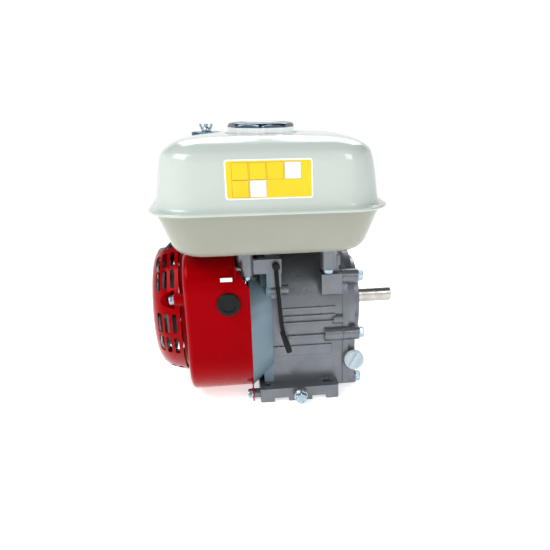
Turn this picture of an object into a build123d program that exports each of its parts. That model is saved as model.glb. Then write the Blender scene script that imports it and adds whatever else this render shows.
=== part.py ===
from build123d import *
import math
import os

# Small four-stroke petrol engine with a horizontal shaft, in millimetres.
# +X runs along the crankshaft towards the driven end, +Z is up, -Y is the tank side.
# The origin is the centre of the base's bolt pattern, on the underside of the foot.

os.makedirs("parts", exist_ok=True)

# ---------------------------------------------------------------- driving dimensions
crank_height = 106.0          # crankshaft axis above the base
cylinder_tilt = 25.0          # cylinder axis above the horizontal, degrees
fit = 0.05                    # radial clearance of fixed round fits
running = 0.04                # radial clearance of running fits
gap = 0.3                     # clearance between parts of different bodies
bolt_clearance = 0.4          # radial clearance round bolt shanks

# foot
foot_length = 100.0           # along X
foot_depth = 190.0            # along Y
foot_height = 18.0
foot_hole_x = 39.0            # half the hole spacing along X
foot_hole_y = 81.0
foot_hole_r = 4.25
foot_slot_extra = 5.0
foot_offset = 1.3
scallop_width = 18.0
scallop_depth = 5.0
scallop_x = (-22.0, 26.0)
drain_boss_r = 9.0
drain_boss_length = 7.0
drain_z = 10.0

# crankcase
case_left = -42.0             # outer face of the fan-side wall
case_right = 59.0             # gasket face
case_half = 74.0              # half width, and the radius of the rounded top
case_wall = 6.0
case_floor = 14.0
bearing_boss_r = 34.0
rib_rise = 3.0
rib_thickness = 3.0

# fan-side bell, a flared plate that carries the fan cover
bell_left = -56.5
bell_right = -30.0
bell_wall = 4.0

# side cover
gasket_thickness = 1.0
cover_thickness = 17.0
cover_wall = 6.0
cover_boss_r = 55.0
cover_boss_rise = 8.0
cover_nose_r = 30.0
cover_nose_rise = 6.0
cover_bolt_boss_r = 9.0
cover_bolt_boss_rise = 3.0
cover_bolt_r = 4.0
cover_bolt_places = [(-62, 152), (-74, 80), (-55, 9), (62, 152), (74, 80), (55, 9)]
flange_pcd = 92.0             # threaded holes round the driven end
flange_hole_r = 4.0
flange_hole_depth = 14.0

# crankshaft
pto_r = 10.0
pto_end = 140.0
pto_shoulder = 92.0
journal_r = 12.5
main_r = 15.0
web_r = 42.0
web_thickness = 12.0
big_end_width = 24.0
stroke = 45.0
crankpin_r = 14.0
taper_shaft_r = 9.5
crank_left_end = -112.0

# main bearings and seals
bearing_outer_r = 26.0
bearing_width = 15.0
ring_thickness = 3.5
ball_r = 3.9
ball_count = 9
seal_width = 7.0

# timing gears
gear_module = 1.5
crank_teeth = 24
cam_teeth = 48
governor_teeth = 30
gear_width = 10.0
gear_left = 41.0
governor_angle = 197.0

# cylinder, along its own axis from the crankshaft
bore_r = 34.0
sleeve_wall = 3.0
sleeve_start = 62.0
deck = 134.0
barrel_r = 41.0
fin_start = 82.0
fin_pitch = 7.5
fin_thickness = 2.0
fin_count = 6
fin_half_x = 52.0
fin_top_v = -54.0
fin_bottom_v = 68.0
head_bolt_x = 38.0
head_bolt_v = 38.0
head_gasket_thickness = 1.2
head_height = 52.0
chamber_depth = 8.0
valve_cover_height = 24.0

# piston and rod
rod_length = 84.0
piston_height = 44.0
piston_crown = 26.0           # pin centre to crown
wrist_pin_r = 8.0
wrist_pin_length = 54.0
small_end_r = 12.0
big_end_r = 19.0

# valve train
valve_x = 15.0
valve_v = -4.0
pushrod_v = 54.0
lobe_x = 7.0
lobe_width = 6.0
lobe_base_r = 8.0
valve_lift = 4.0
lifter_head_r = 6.0
lifter_stem_r = 4.0
pushrod_r = 2.5
valve_stem_r = 2.75
intake_head_r = 12.5
exhaust_head_r = 11.5

# fan cover (sheet steel)
cover_near_y = -98.0
cover_far_y = 112.0
cover_bottom = 6.0
cover_top = 190.0
cover_front = -134.0
sheet = 1.5
cover_low_corner = 60.0
cover_top_corner = 42.0
intake_r = 80.0

# flywheel and fan
flywheel_r = 76.0
flywheel_left = -92.0
flywheel_right = -62.0
fan_r = 80.0
fan_depth = 22.0
fan_blades = 16

# recoil starter
recoil_back = -140.0
recoil_front = -175.0
recoil_r = 87.0
recoil_sheet = 1.6
lug_r = 83.0
lug_foot_r = 8.0
lug_turns = (22.0, 142.0, 262.0)
lug_height = 12.0
scoop_r = 12.0                # hollow round each foot's bolt
scoop_depth = 25.0
scoop_taper = 24.0
slot_turns = (-41.0, -20.0, 18.0, 38.0)
slot_columns = (-165.2, -156.7, -147.4)
slot_width = 5.6
slot_length = 25.0
inlet_lip = 5.3
reel_r = 60.0
reel_left = -167.0
reel_flange = 2.0
rope_width = 9.0
rope_depth = 9.0

# starter handle, in a pocket on the recoil housing's shoulder
handle_turn = 7.0             # from straight up towards the far side
handle_lean = 45.0            # towards the front
handle_seat_x = -149.7
handle_seat_r = 71.0
handle_length = 60.0
handle_width = 19.0
handle_height = 10.5
pocket_clearance = 1.0
pocket_span = (70.0, 130.0)   # turn taken up by the pocket

# fuel tank
tank_centre_x = -29.5
tank_centre_y = -50.0
tank_length = 252.0
tank_depth = 178.0
tank_seam = 249.0
tank_flange = 6.5
tank_flange_thickness = 3.0
tank_top = 318.0
tank_bottom = 195.0
tank_corner = 42.0
tank_sheet = 1.2
filler_x = -33.0
filler_y = -42.0
fuel_cap_r = 38.5
fuel_cap_height = 17.0

# tank posts
post_r = 10.0
post_y = -75.0
left_post_x = -60.0
left_post_low = 163.0
right_post_x = 41.0
right_post_low = 167.0
arm_face_y = -74.0
arm_depth = 10.0

# fuel line
hose_x = -70.0
tank_tap_z = 206.0
tank_tap_end = 34.0
hose_drop_y = 119.0
hose_drop_z = 178.0

# ---------------------------------------------------------------- frames
tilt = math.radians(cylinder_tilt)
crank_centre = Vector(0, 0, crank_height)
bore_axis = Vector(0, math.cos(tilt), math.sin(tilt))
down_axis = Vector(0, math.sin(tilt), -math.cos(tilt))
plate_right = case_right + gasket_thickness
cover_right = plate_right + cover_thickness
nose_right = cover_right + cover_boss_rise + cover_nose_rise
lug_angles = [math.radians(turn) for turn in lug_turns]
lug_places = [(-lug_r * math.cos(a), crank_height + lug_r * math.sin(a)) for a in lug_angles]


def bore_plane(s):
    """Plane square to the cylinder axis, s from the crankshaft. Local x is X, local y is downward."""
    return Plane(origin=crank_centre + bore_axis * s, x_dir=(1, 0, 0), z_dir=bore_axis)


def bore_point(x, v, s):
    return Vector(x, 0, 0) + crank_centre + down_axis * v + bore_axis * s


def across(x):
    """Plane square to the crankshaft at x. Local x is Y and local y is Z."""
    return Plane.YZ.offset(x)


def facing(x, y, z, direction):
    """Plane at a point, with its normal along the given direction."""
    side = (0, 1, 0) if abs(direction[0]) > 0.5 else (1, 0, 0)
    return Plane(origin=(x, y, z), x_dir=side, z_dir=direction)


def hex_bolts(seats, shank_r, shank_length, across_flats, head_height, flange_r):
    """Flanged hexagon bolts: each seat's plane lies under its head, normal outward."""
    with BuildPart() as bolts:
        for seat in seats:
            with BuildSketch(seat):
                Circle(flange_r)
            extrude(amount=1.4)
            with BuildSketch(seat.offset(1.4)):
                RegularPolygon(across_flats / 2, 6, major_radius=False)
            extrude(amount=head_height)
            with BuildSketch(seat):
                Circle(shank_r)
            extrude(amount=-shank_length)
    return bolts.part


def gear_outline(teeth, phase):
    """Involute tooth outline as points, with a tooth centred on the phase angle in degrees."""
    pitch_r = gear_module * teeth / 2
    base_r = pitch_r * math.cos(math.radians(20))
    outer_r = pitch_r + 0.9 * gear_module
    root_r = pitch_r - 1.2 * gear_module
    roll = math.tan(math.radians(20)) - math.radians(20)
    half_tooth = 0.46 * math.pi / teeth * 1.0 + roll
    points = []
    for tooth in range(teeth):
        middle = math.radians(phase) + tooth * 2 * math.pi / teeth
        flank = []
        for step in range(4):
            radius = max(base_r, root_r) + (outer_r - max(base_r, root_r)) * step / 3
            lean = math.acos(min(1.0, base_r / radius))
            angle = half_tooth - (math.tan(lean) - lean)
            flank.append((radius, angle))
        root_angle = flank[0][1]
        points.append((root_r, middle - root_angle))
        for radius, angle in flank:
            points.append((radius, middle - angle))
        for radius, angle in reversed(flank):
            points.append((radius, middle + angle))
        points.append((root_r, middle + root_angle))
    return [(r * math.cos(a), r * math.sin(a)) for r, a in points]


cam_distance = gear_module * (crank_teeth + cam_teeth) / 2
cam_centre = crank_centre + down_axis * cam_distance
cam_y = cam_centre.Y
cam_z = cam_centre.Z
bearing_left = -43.0
seal_r = 20.0
barrel_middle_v = (fin_top_v + fin_bottom_v) / 2
head_start = deck + head_gasket_thickness
head_end = head_start + head_height
head_half_x = 49.0
head_core_half = 29.5
head_boss_r = 9.0
head_low_v = 66.0
head_high_v = -50.0
head_middle_v = (head_low_v + head_high_v) / 2
head_depth_v = head_low_v - head_high_v
head_bolt_places = [(x, v) for x in (-head_bolt_x, head_bolt_x) for v in (-head_bolt_v, head_bolt_v)]


# ---------------------------------------------------------------- crankcase
def case_section(half, floor):
    """Round top over straight sides, drawn in the current sketch."""
    with Locations((0, crank_height)):
        Circle(half)
    with Locations((0, floor)):
        Rectangle(2 * half, crank_height - floor, align=(Align.CENTER, Align.MIN))


def bell_section(near, far, low, high, corner):
    """Outline of the bell at one station, in Y and Z, with round corners."""
    with Locations(((near + far) / 2, (low + high) / 2)):
        RectangleRounded(far - near, high - low, corner)


bell_top = 152.0
bell_far = 84.0
bell_small = (-84.0, 76.0, 30.0, 148.0, 40.0)
bell_large = (cover_near_y, bell_far, cover_bottom, bell_top, 58.0)

with BuildPart() as crankcase:
    with BuildSketch(across(bell_left)):
        bell_section(*bell_large)
    with BuildSketch(across(bell_right)):
        bell_section(*bell_small)
    loft()
    with BuildSketch(across(bell_left)):
        wall_steps = (bell_wall, -bell_wall, bell_wall, -bell_wall, -bell_wall)
        bell_section(*[side + step for side, step in zip(bell_large, wall_steps)])
    with BuildSketch(across(case_left)):
        bell_section(bell_small[0] - 2, bell_small[1], bell_small[2] - 6, bell_small[3] - 3, 42)
    loft(mode=Mode.SUBTRACT)

    with BuildSketch(across(case_left)):
        case_section(case_half, foot_height / 2)
    extrude(amount=case_right - case_left)
    with BuildSketch(Plane.XY):
        with Locations((foot_offset, 0)):
            RectangleRounded(foot_length, foot_depth, 3)
    extrude(amount=foot_height)
    for side in (-1, 1):
        with BuildSketch(Plane.XZ.offset(side * foot_depth / 2)):
            with Locations((foot_offset, drain_z)):
                Circle(drain_boss_r)
        extrude(amount=side * drain_boss_length)

    # cylinder barrel with fins, deck flange and pushrod tunnel
    with BuildSketch(bore_plane(50)):
        Circle(barrel_r)
    extrude(amount=deck - 50)
    for fin in range(fin_count):
        with BuildSketch(bore_plane(fin_start + fin * fin_pitch)):
            with Locations((0, barrel_middle_v)):
                RectangleRounded(2 * fin_half_x, fin_bottom_v - fin_top_v, 12)
        extrude(amount=fin_thickness)
    with BuildSketch(bore_plane(deck - 10)):
        with Locations((0, head_middle_v)):
            RectangleRounded(2 * head_half_x, head_depth_v, 10)
    extrude(amount=10)
    with BuildSketch(bore_plane(deck - 36)):
        with Locations(*head_bolt_places):
            Circle(8)
    extrude(amount=36)
    with BuildSketch(bore_plane(40)):
        with Locations((0, pushrod_v)):
            RectangleRounded(2 * valve_x + 16, 17, 8)
    extrude(amount=deck - 40)

    # bosses for the side cover's bolts, the upper block and the tank posts
    with BuildSketch(across(36)):
        with Locations(*cover_bolt_places):
            Circle(cover_bolt_boss_r)
    extrude(amount=case_right - 36)
    with BuildSketch(across(47)):
        with Locations((-case_half - 1, 100), (case_half + 1, 100)):
            Circle(6)
    extrude(amount=case_right - 47)
    for side in (-1, 1):
        with Locations((46, side * 62, 146)):
            Box(26, 26, 26)
        with Locations((5.5, side * (case_half - 4), 60.5)):
            Box(79, 2 * 4 + 4, 13)
        with Locations((17, side * case_half, 106), (17, side * case_half, 97.5)):
            Box(66, 2 * rib_rise, rib_thickness)
        with Locations((17, side * (case_half - 1), 116)):
            Box(66, 2 * rib_rise, rib_thickness)
        with Locations((12, side * case_half, 79.5)):
            Box(46, 2 * rib_rise, rib_thickness)
    with BuildSketch(Plane.XY.offset(right_post_low)):
        with Locations((right_post_x, post_y)):
            Circle(post_r)
    extrude(amount=tank_bottom - right_post_low)
    with Locations((right_post_x + 5, post_y + 19, 164)):
        Box(20, 20, 36)
    with Locations((right_post_x + 5, post_y + 8, 176)):
        Box(20, 16, 12)
    with BuildSketch(Plane.XY.offset(left_post_low)):
        with Locations((left_post_x, post_y)):
            Circle(post_r)
    extrude(amount=tank_bottom - left_post_low)
    with Locations((left_post_x + 22, arm_face_y + arm_depth / 2, left_post_low + 9)):
        Box(44, arm_depth, 18)
    with Locations((left_post_x + 34, post_y + 16, 156)):
        Box(18, 30, 50)
    with BuildSketch(across(-36)):
        with Locations((post_y + 5, 141)):
            Circle(6)
    extrude(amount=28)
    with BuildSketch(across(bell_left)):
        with Locations((-80, 7)):
            Circle(6)
    extrude(amount=12)

    # inside
    with BuildSketch(across(bell_right)):
        case_section(case_half - case_wall, case_floor)
    extrude(amount=case_right - bell_right, mode=Mode.SUBTRACT)
    with BuildSketch(across(-50)):
        with Locations((0, crank_height)):
            Circle(bearing_boss_r)
    extrude(amount=22)
    with BuildSketch(bore_plane(22)):
        with Locations((0, pushrod_v)):
            RectangleRounded(2 * lobe_x + 16, 17, 4)
    extrude(amount=26)
    with BuildSketch(bore_plane(46)):
        with Locations((0, pushrod_v)):
            RectangleRounded(2 * valve_x + 9, 10, 4)
    extrude(amount=deck - 46, mode=Mode.SUBTRACT)
    with BuildSketch(bore_plane(18)):
        with Locations((-lobe_x, pushrod_v), (lobe_x, pushrod_v)):
            Circle(lifter_stem_r + running)
    extrude(amount=29, mode=Mode.SUBTRACT)
    with BuildSketch(bore_plane(sleeve_start)):
        Circle(bore_r + sleeve_wall + fit)
    extrude(amount=deck - sleeve_start, mode=Mode.SUBTRACT)
    with BuildSketch(bore_plane(30)):
        Circle(bore_r + 2)
    extrude(amount=deck - 30, mode=Mode.SUBTRACT)
    with BuildSketch(bore_plane(deck - 34)):
        with Locations(*head_bolt_places):
            Circle(4 + bolt_clearance)
    extrude(amount=34, mode=Mode.SUBTRACT)

    # bearing and seal seats
    with BuildSketch(across(bearing_left)):
        with Locations((0, crank_height)):
            Circle(bearing_outer_r + fit)
    extrude(amount=bearing_width, mode=Mode.SUBTRACT)
    with BuildSketch(across(-50)):
        with Locations((0, crank_height)):
            Circle(seal_r + fit)
    extrude(amount=seal_width, mode=Mode.SUBTRACT)
    with BuildSketch(across(-37)):
        with Locations((cam_y, cam_z)):
            Circle(7 + running)
    extrude(amount=8, mode=Mode.SUBTRACT)

    # holes
    with BuildSketch(across(case_right - 20)):
        with Locations(*cover_bolt_places):
            Circle(cover_bolt_r + bolt_clearance)
    extrude(amount=20, mode=Mode.SUBTRACT)
    with BuildSketch(Plane.XY):
        with Locations((-foot_hole_x, -foot_hole_y), (-foot_hole_x, foot_hole_y)):
            Circle(foot_hole_r)
        with Locations((foot_hole_x, -foot_hole_y), (foot_hole_x, foot_hole_y)):
            SlotOverall(2 * foot_hole_r + foot_slot_extra, 2 * foot_hole_r)
    extrude(amount=foot_height, mode=Mode.SUBTRACT)
    for side in (-1, 1):
        for x in scallop_x:
            with Locations((x, side * foot_depth / 2, 0)):
                Box(scallop_width, 24, 2 * scallop_depth, mode=Mode.SUBTRACT)
        with BuildSketch(Plane.XZ.offset(side * (foot_depth / 2 + drain_boss_length))):
            with Locations((foot_offset, drain_z)):
                Circle(5 + bolt_clearance)
        extrude(amount=-side * 22, mode=Mode.SUBTRACT)
    with BuildSketch(Plane.XY.offset(left_post_low)):
        with Locations((right_post_x, post_y), (left_post_x, post_y)):
            Circle(3 + bolt_clearance)
    extrude(amount=tank_bottom - left_post_low, mode=Mode.SUBTRACT)
    with BuildSketch(across(bell_left)):
        with Locations((-80, 7)):
            Circle(3 + bolt_clearance)
    extrude(amount=11, mode=Mode.SUBTRACT)
    with BuildSketch(across(left_post_x - post_r)):
        with Locations((post_y - 5, 172)):
            Circle(3 + bolt_clearance)
    extrude(amount=8, mode=Mode.SUBTRACT)

crankcase.part.label = "crankcase"
export_step(crankcase.part, "parts/crankcase.step")


# ---------------------------------------------------------------- side cover
filler_z = 44.0
filler_lean = 20.0
filler_axis_near = (0, -math.cos(math.radians(filler_lean)), math.sin(math.radians(filler_lean)))
filler_axis_far = (0, math.cos(math.radians(filler_lean)), math.sin(math.radians(filler_lean)))
filler_boss_x = 73.5
filler_seat_y = 79.0
filler_neck_r = 13.0
filler_neck_length = 26.0
filler_hole_r = 9.0
cap_r = 12.5


def cover_rim(grow):
    """Flange outline shared by the case, gasket and side cover."""
    case_section(case_half + grow, foot_height / 2)
    with Locations(*cover_bolt_places):
        Circle(cover_bolt_boss_r + grow)


def filler_seat(side):
    axis = filler_axis_near if side < 0 else filler_axis_far
    return facing(filler_boss_x, side * filler_seat_y, filler_z, axis)


with BuildPart() as side_cover_gasket:
    with BuildSketch(across(case_right)):
        cover_rim(0)
        case_section_inner = case_half - case_wall
        with Locations((0, crank_height)):
            Circle(case_section_inner, mode=Mode.SUBTRACT)
        with Locations((0, case_floor)):
            Rectangle(2 * case_section_inner, crank_height - case_floor,
                      align=(Align.CENTER, Align.MIN), mode=Mode.SUBTRACT)
        with Locations(*cover_bolt_places):
            Circle(cover_bolt_boss_r)
        with Locations(*cover_bolt_places):
            Circle(cover_bolt_r + bolt_clearance, mode=Mode.SUBTRACT)
    extrude(amount=gasket_thickness)
side_cover_gasket.part.label = "side_cover_gasket"
export_step(side_cover_gasket.part, "parts/side_cover_gasket.step")

with BuildPart() as side_cover:
    with BuildSketch(across(plate_right)):
        cover_rim(0)
    extrude(amount=7)
    with BuildSketch(across(plate_right + 7)):
        case_section(case_half - 3, foot_height / 2 + 3)
    extrude(amount=cover_thickness - 7, taper=18)
    with BuildSketch(across(cover_right)):
        with Locations((0, crank_height)):
            Circle(cover_boss_r)
    extrude(amount=cover_boss_rise)
    with BuildSketch(across(cover_right + cover_boss_rise)):
        with Locations((0, crank_height)):
            Circle(cover_nose_r)
    extrude(amount=cover_nose_rise, taper=12)
    with BuildSketch(across(plate_right)):
        with Locations(*cover_bolt_places):
            Circle(cover_bolt_boss_r)
    extrude(amount=cover_thickness + cover_bolt_boss_rise)
    for side in (-1, 1):
        with BuildSketch(filler_seat(side)):
            Circle(filler_neck_r)
        extrude(amount=-filler_neck_length)
    # hollow inside, leaving the bearing's boss
    with BuildSketch(across(plate_right)):
        case_section(case_half - case_wall - 2, case_floor + 2)
    extrude(amount=cover_thickness - cover_wall, taper=18, mode=Mode.SUBTRACT)
    with BuildSketch(across(plate_right + 1)):
        with Locations((0, crank_height)):
            Circle(bearing_boss_r)
        with Locations((cam_y, cam_z)):
            Circle(14)
    extrude(amount=cover_thickness - 1)
    with BuildSketch(across(plate_right + 1)):
        with Locations((0, crank_height)):
            Circle(bearing_outer_r + fit)
    extrude(amount=bearing_width, mode=Mode.SUBTRACT)
    with BuildSketch(across(plate_right + 1)):
        with Locations((0, crank_height)):
            Circle(bearing_outer_r - 5)
    extrude(amount=nose_right - plate_right, mode=Mode.SUBTRACT)
    with BuildSketch(across(plate_right + 1)):
        with Locations((cam_y, cam_z)):
            Circle(7 + running)
    extrude(amount=9, mode=Mode.SUBTRACT)
    with BuildSketch(across(plate_right)):
        with Locations(*cover_bolt_places):
            Circle(cover_bolt_r + bolt_clearance)
    extrude(amount=cover_thickness + cover_bolt_boss_rise, mode=Mode.SUBTRACT)
    with BuildSketch(across(cover_right + cover_boss_rise)):
        with Locations((0, crank_height)):
            with PolarLocations(flange_pcd / 2, 4, start_angle=45):
                Circle(flange_hole_r)
    extrude(amount=-flange_hole_depth, mode=Mode.SUBTRACT)
    for side in (-1, 1):
        with BuildSketch(filler_seat(side)):
            Circle(filler_hole_r)
        extrude(amount=-filler_neck_length, mode=Mode.SUBTRACT)
side_cover.part.label = "side_cover"
export_step(side_cover.part, "parts/side_cover.step")

cover_bolt_seats = [facing(cover_right + cover_bolt_boss_rise, y, z, (1, 0, 0)) for y, z in cover_bolt_places]
side_cover_bolts = hex_bolts(cover_bolt_seats, cover_bolt_r, 34, 12, 5.5, 8)
side_cover_bolts.label = "side_cover_bolts"
export_step(side_cover_bolts, "parts/side_cover_bolts.step")


def oil_cap(side):
    """Screw-in plastic oil plug: knob, grip ridge and plain shank."""
    with BuildPart() as cap:
        with BuildSketch(filler_seat(side)):
            Circle(cap_r)
        extrude(amount=5)
        fillet(cap.edges().sort_by(SortBy.LENGTH)[-2:], 1)
        with BuildSketch(filler_seat(side).offset(5)):
            Circle(cap_r - 1.2)
        extrude(amount=2, taper=25)
        with BuildSketch(filler_seat(side).offset(5)):
            with Locations(Rotation(0, 0, 55)):
                RectangleRounded(2 * cap_r - 4, 5, 2)
        extrude(amount=7)
        with BuildSketch(filler_seat(side)):
            Circle(filler_hole_r - gap)
        extrude(amount=-14)
    return cap.part


oil_filler_cap = oil_cap(-1)
oil_filler_cap.label = "oil_filler_cap"
export_step(oil_filler_cap, "parts/oil_filler_cap.step")
oil_dipstick_cap = oil_cap(1)
oil_dipstick_cap.label = "oil_dipstick_cap"
export_step(oil_dipstick_cap, "parts/oil_dipstick_cap.step")

drain_seats = [facing(foot_offset, side * (foot_depth / 2 + drain_boss_length), drain_z, (0, side, 0))
               for side in (-1, 1)]
with BuildPart() as drain_bolts:
    add(hex_bolts([seat.offset(2) for seat in drain_seats], 5, 18, 13, 7, 8))
    for seat in drain_seats:
        with BuildSketch(seat):
            Circle(8.5)
            Circle(5 + gap, mode=Mode.SUBTRACT)
        extrude(amount=2)
drain_bolts.part.label = "drain_bolts"
export_step(drain_bolts.part, "parts/drain_bolts.step")

# ---------------------------------------------------------------- bearings and seals
bearing_starts = (bearing_left, plate_right + 1)
race_inner_r = journal_r + ring_thickness
race_outer_r = bearing_outer_r - ring_thickness
ball_path_r = (race_inner_r + race_outer_r) / 2

with BuildPart() as bearing_outer_rings:
    for start in bearing_starts:
        with BuildSketch(across(start)):
            with Locations((0, crank_height)):
                Circle(bearing_outer_r)
                Circle(race_outer_r, mode=Mode.SUBTRACT)
        extrude(amount=bearing_width)
        with Locations(Plane(origin=(start + bearing_width / 2, 0, crank_height), z_dir=(1, 0, 0))):
            Torus(ball_path_r, ball_r + gap, mode=Mode.SUBTRACT)
bearing_outer_rings.part.label = "bearing_outer_rings"
export_step(bearing_outer_rings.part, "parts/bearing_outer_rings.step")

with BuildPart() as bearing_inner_rings:
    for start in bearing_starts:
        with BuildSketch(across(start)):
            with Locations((0, crank_height)):
                Circle(race_inner_r)
                Circle(journal_r + fit, mode=Mode.SUBTRACT)
        extrude(amount=bearing_width)
        with Locations(Plane(origin=(start + bearing_width / 2, 0, crank_height), z_dir=(1, 0, 0))):
            Torus(ball_path_r, ball_r + gap, mode=Mode.SUBTRACT)

with BuildPart() as bearing_cages:
    for start in bearing_starts:
        middle = start + bearing_width / 2
        with BuildSketch(across(middle - 3)):
            with Locations((0, crank_height)):
                Circle(ball_path_r + 1.4)
                Circle(ball_path_r - 1.4, mode=Mode.SUBTRACT)
        extrude(amount=6)
        with Locations(Plane(origin=(middle, 0, crank_height), z_dir=(1, 0, 0))):
            with PolarLocations(ball_path_r, ball_count):
                Sphere(ball_r)
bearing_cages.part.label = "bearing_cages"
export_step(bearing_cages.part, "parts/bearing_cages.step")

seal_starts = (-50.0, nose_right - seal_width)
seal_outer = (seal_r, bearing_outer_r - 5 - fit)
with BuildPart() as oil_seals:
    for start, outer_r in zip(seal_starts, seal_outer):
        with BuildSketch(across(start)):
            with Locations((0, crank_height)):
                Circle(outer_r)
                Circle(journal_r + running, mode=Mode.SUBTRACT)
        extrude(amount=seal_width)
oil_seals.part.label = "oil_seals"
export_step(oil_seals.part, "parts/oil_seals.step")

# ---------------------------------------------------------------- crankshaft
web_inner = big_end_width / 2 + gap
web_outer = web_inner + web_thickness
with BuildPart() as crankshaft:
    for side in (-1, 1):
        with BuildSketch(across(side * web_inner)):
            with Locations((0, crank_height)):
                Circle(web_r)
        extrude(amount=side * web_thickness)
    with BuildSketch(across(web_outer)):
        with Locations((0, crank_height)):
            Circle(main_r)
    extrude(amount=bearing_starts[1] - web_outer)
    with BuildSketch(across(bearing_starts[1])):
        with Locations((0, crank_height)):
            Circle(journal_r)
    extrude(amount=pto_shoulder - bearing_starts[1])
    with BuildSketch(across(pto_shoulder)):
        with Locations((0, crank_height)):
            Circle(pto_r)
    extrude(amount=pto_end - pto_shoulder)
    chamfer(crankshaft.edges().filter_by(GeomType.CIRCLE).sort_by(Axis.X)[-1], 1.5)
    with BuildSketch(across(-web_outer)):
        with Locations((0, crank_height)):
            Circle(main_r)
    extrude(amount=-(-web_outer - bearing_left - bearing_width))
    with BuildSketch(across(bearing_left + bearing_width)):
        with Locations((0, crank_height)):
            Circle(journal_r)
    extrude(amount=-(bearing_width + seal_width + 4))
    with BuildSketch(across(-54)):
        with Locations((0, crank_height)):
            Circle(taper_shaft_r)
    extrude(amount=crank_left_end + 54)
    chamfer(crankshaft.edges().filter_by(GeomType.CIRCLE).sort_by(Axis.X)[0], 1)
    # lightening cuts beside the crankpin's side of each web
    for side in (-1, 1):
        with BuildSketch(across(side * web_inner)):
            with Locations((0, crank_height)):
                with Locations((web_r * math.sin(tilt) * 1.02, -web_r * math.cos(tilt) * 1.02),
                               (-web_r * math.sin(tilt) * 1.02, web_r * math.cos(tilt) * 1.02)):
                    Circle(16)
        extrude(amount=side * web_thickness, mode=Mode.SUBTRACT)


def gear_sketch(teeth, phase, centre_y, centre_z, bore):
    """Toothed outline round a bore, drawn in the current sketch."""
    outline = [(centre_y + y, centre_z + z) for y, z in gear_outline(teeth, phase)]
    Polygon(*outline, align=None)
    with Locations((centre_y, centre_z)):
        Circle(bore, mode=Mode.SUBTRACT)


down_angle = math.degrees(math.atan2(down_axis.Z, down_axis.Y))
governor_y = gear_module * (crank_teeth + governor_teeth) / 2 * math.cos(math.radians(governor_angle))
governor_reach = gear_module * (crank_teeth + governor_teeth) / 2
governor_z = crank_height + governor_reach * math.sin(math.radians(governor_angle))
crank_pitch = 360 / crank_teeth
turn_to_governor = (governor_angle - down_angle) % crank_pitch
governor_phase = governor_angle + 180 + 180 / governor_teeth + turn_to_governor * crank_teeth / governor_teeth

with BuildPart() as crank_gear:
    with BuildSketch(across(gear_left)):
        gear_sketch(crank_teeth, down_angle, 0, crank_height, main_r + fit)
    extrude(amount=gear_width)
shaft_pieces = [crankshaft.part, crank_gear.part, bearing_inner_rings.part]
crankshaft_set = Compound(label="crankshaft", children=shaft_pieces)
export_step(crankshaft_set, "parts/crankshaft.step")

with BuildPart() as governor_gear:
    with BuildSketch(across(gear_left)):
        gear_sketch(governor_teeth, governor_phase, governor_y, governor_z, 3 + running)
    extrude(amount=gear_width)
    with BuildSketch(across(gear_left - 8)):
        with Locations((governor_y, governor_z)):
            Circle(9)
            Circle(3 + running, mode=Mode.SUBTRACT)
    extrude(amount=8)
governor_gear.part.label = "governor_gear"
export_step(governor_gear.part, "parts/governor_gear.step")

# ---------------------------------------------------------------- camshaft, one piece with its gear
cam_left = -36.0
cam_right = plate_right + 9.0
nose_turn = down_angle + 35
with BuildPart() as camshaft:
    with BuildSketch(across(cam_left)):
        with Locations((cam_y, cam_z)):
            Circle(7)
    extrude(amount=cam_right - cam_left)
    with BuildSketch(across(gear_left)):
        gear_sketch(cam_teeth, down_angle + 180 + 180 / cam_teeth, cam_y, cam_z, 6)
    extrude(amount=gear_width)
    for x, turn in ((-lobe_x, nose_turn), (lobe_x, nose_turn + 110)):
        lobe_y = cam_y + valve_lift * math.cos(math.radians(turn))
        lobe_z = cam_z + valve_lift * math.sin(math.radians(turn))
        with BuildSketch(across(x - lobe_width / 2)):
            with Locations((cam_y, cam_z)):
                Circle(lobe_base_r)
            with Locations((lobe_y, lobe_z)):
                Circle(lobe_base_r)
        extrude(amount=lobe_width)
camshaft.part.label = "camshaft"
export_step(camshaft.part, "parts/camshaft.step")

# ---------------------------------------------------------------- cylinder sleeve, piston and rod
with BuildPart() as cylinder_sleeve:
    with BuildSketch(bore_plane(sleeve_start)):
        Circle(bore_r + sleeve_wall)
        Circle(bore_r, mode=Mode.SUBTRACT)
    extrude(amount=deck - sleeve_start)
cylinder_sleeve.part.label = "cylinder_sleeve"
export_step(cylinder_sleeve.part, "parts/cylinder_sleeve.step")

pin_s = stroke / 2
wrist_s = pin_s + rod_length
crown_s = wrist_s + piston_crown
skirt_s = crown_s - piston_height
piston_r = bore_r - running
ring_s = (crown_s - 6, crown_s - 11, crown_s - 17)
ring_groove_r = piston_r - 3.2
along_x = Plane(origin=crank_centre + bore_axis * wrist_s, x_dir=(0, 1, 0), z_dir=(1, 0, 0))

with BuildPart() as piston:
    with BuildSketch(bore_plane(skirt_s)):
        Circle(piston_r)
    extrude(amount=piston_height)
    with BuildSketch(bore_plane(skirt_s)):
        Circle(piston_r - 4)
    extrude(amount=piston_height - 22, mode=Mode.SUBTRACT)
    with BuildSketch(bore_plane(skirt_s)):
        with Locations((0, 0)):
            Rectangle(2 * piston_r - 8, 30)
        Rectangle(big_end_width + 2, 40, mode=Mode.SUBTRACT)
    extrude(amount=piston_height - 22)
    with BuildSketch(bore_plane(skirt_s)):
        Rectangle(big_end_width + 2, 30)
    extrude(amount=wrist_s - skirt_s + small_end_r + 2, mode=Mode.SUBTRACT)
    for s in ring_s:
        with BuildSketch(bore_plane(s)):
            Circle(piston_r + 1)
            Circle(ring_groove_r, mode=Mode.SUBTRACT)
        extrude(amount=2, mode=Mode.SUBTRACT)
    with BuildSketch(along_x.offset(-piston_r)):
        Circle(wrist_pin_r + running)
    extrude(amount=2 * piston_r, mode=Mode.SUBTRACT)
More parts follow.
